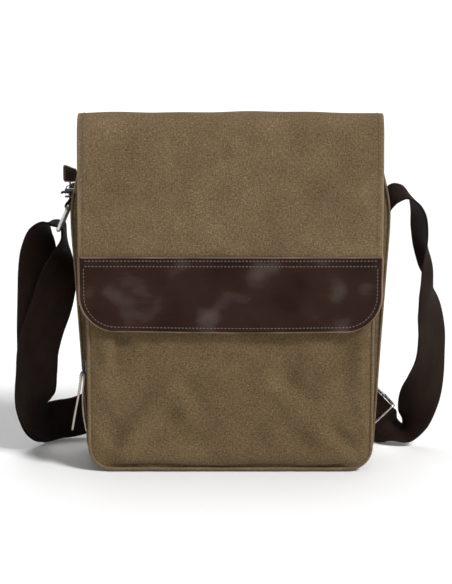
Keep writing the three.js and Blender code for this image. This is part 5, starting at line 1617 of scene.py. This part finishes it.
def pocket(name, node, x0, x1, z0, z1, deep):
    """A patch pocket on the front lining, open at the top, sewn flat at its base, with a bound edge."""
    front = BODY_WALL + 3.95
    z = np.r_[z0, z0 + 2, z0 + 6, z0 + 12, np.linspace(z0 + 20, z1, 12)]
    r = min(3.0, deep / 3)
    corners = [(x0, 0), (x0 + 0.3, deep - r), (x0 + r, deep - 0.4), ((x0 + x1) / 2, deep - 0.2),
               (x1 - r, deep - 0.4), (x1 - 0.3, deep - r), (x1, 0)]
    plan = resample([(a, c, 0) for a, c in corners], count=40)
    p = np.zeros((len(z), len(plan), 3))
    open_share = 0.25 + 0.75 * smooth((z - z0) / 16)
    p[:, :, 0] = plan[None, :, 0]
    p[:, :, 1] = front + plan[None, :, 1] * open_share[:, None] + LEAN * z[:, None]
    p[:, :, 2] = z[:, None]
    b = shell(Build(), p[:, ::-1], 0.8)
    piece(name, b, LINING, "bag", node)
    top = p[-1] + [0, 0.35, 0]
    piece(name + "_binding", tube(Build(), top, 0.9, 8, normal=(0, 0, 1)), WEBBING, "bag")


# ---------------------------------------------------------------- build it all
back_panel()
wall_panel()
gusset()
piping()
front_panel()
front_sides()
front_zip()
front_zip_pull()
main_zip()
back_zip()
flap_cloths()
leather_band()
flap_side_stitches()
seam_strip()
snaps()
rivets()
left_ring()
left_tab()
strap()
strap_slider()
lining_bag()
divider()
pocket("slip_pocket_cloth", "slip_pocket", -20, 100, 95, 205, 9)
for number in (1, 2):
    pocket(f"pen_slot_{number}_cloth", f"pen_slot_{number}", -82 + 20 * number, -64 + 20 * number, 95, 215, 14)


# ---------------------------------------------------------------- floor, lights and camera
def stage():
    """A pale floor, round, whose rim curves up into a backdrop on every side."""
    low, flat, rise, sides = -0.0004, 4.0, 2.2, 72
    profile = [(flat + rise * math.sin(a), low + rise - rise * math.cos(a))
               for a in np.linspace(0, math.pi / 2, 17)]
    ring = np.arange(sides) / sides * 2 * math.pi
    verts = [(r * math.cos(a), r * math.sin(a), z) for r, z in profile for a in ring]
    faces = [tuple(range(sides))]
    for i in range(len(profile) - 1):
        for k in range(sides):
            m = (k + 1) % sides
            faces.append((i * sides + k, (i + 1) * sides + k, (i + 1) * sides + m, i * sides + m))
    mesh = bpy.data.meshes.new("floor")
    mesh.from_pydata(verts, [], faces)
    mesh.polygons.foreach_set("use_smooth", [True] * len(faces))
    g = Graph("floor", (0.93, 0.93, 0.93), 0.55, Specular_IOR_Level=0.2)
    mesh.materials.append(g.material)
    obj = bpy.data.objects.new("floor", mesh)
    bpy.context.scene.collection.objects.link(obj)


def area_light(name, at, towards, size, power):
    """A soft rectangular light."""
    data = bpy.data.lights.new(name, "AREA")
    data.shape = "RECTANGLE"
    data.size, data.size_y = size
    data.energy = power
    obj = bpy.data.objects.new(name, data)
    obj.location = at
    direction = np.array(towards, float) - np.array(at, float)
    obj.rotation_euler = Vector(direction).to_track_quat("-Z", "Y").to_euler()
    bpy.context.scene.collection.objects.link(obj)


def sun(name, elevation, azimuth, angle, strength):
    """A soft sun. Azimuth 0 shines from the front, 90 from the right."""
    data = bpy.data.lights.new(name, "SUN")
    data.energy = strength
    data.angle = math.radians(angle)
    obj = bpy.data.objects.new(name, data)
    a, e = math.radians(azimuth), math.radians(elevation)
    source = Vector((math.sin(a) * math.cos(e), -math.cos(a) * math.cos(e), math.sin(e)))
    obj.rotation_euler = source.to_track_quat("Z", "Y").to_euler()
    obj.location = source * 3
    bpy.context.scene.collection.objects.link(obj)


stage()
sun("key", elevation=43, azimuth=48, angle=14, strength=3.05)
sun("overhead", elevation=74, azimuth=172, angle=30, strength=0.75)
area_light("side_left", (-1.7, -1.0, 0.7), (0, 0, 0.15), (0.9, 1.1), 0.9)
area_light("side_right", (1.3, -1.0, 0.65), (0, 0, 0.15), (0.8, 1.0), 3.6)

world = bpy.data.worlds.new("studio")
bpy.context.scene.world = world
world.use_nodes = True
background = world.node_tree.nodes["Background"]
background.inputs["Color"].default_value = (1.0, 1.0, 1.0, 1)
background.inputs["Strength"].default_value = 0.22

# the pinhole fitted to the photograph: 1.6 m in front, 0.45 m up, pitched 10 degrees down
camera_data = bpy.data.cameras.new("camera")
camera_data.lens = 104.9
camera_data.sensor_width = 36.0
camera = bpy.data.objects.new("camera", camera_data)
camera.location = (-0.0042, -1.6, 0.45)
camera.rotation_euler = (math.radians(79.88), 0, 0)
scene = bpy.context.scene
scene.collection.objects.link(camera)
scene.camera = camera
scene.view_settings.view_transform = "Standard"
scene.view_settings.look = "None"

bpy.context.view_layer.update()
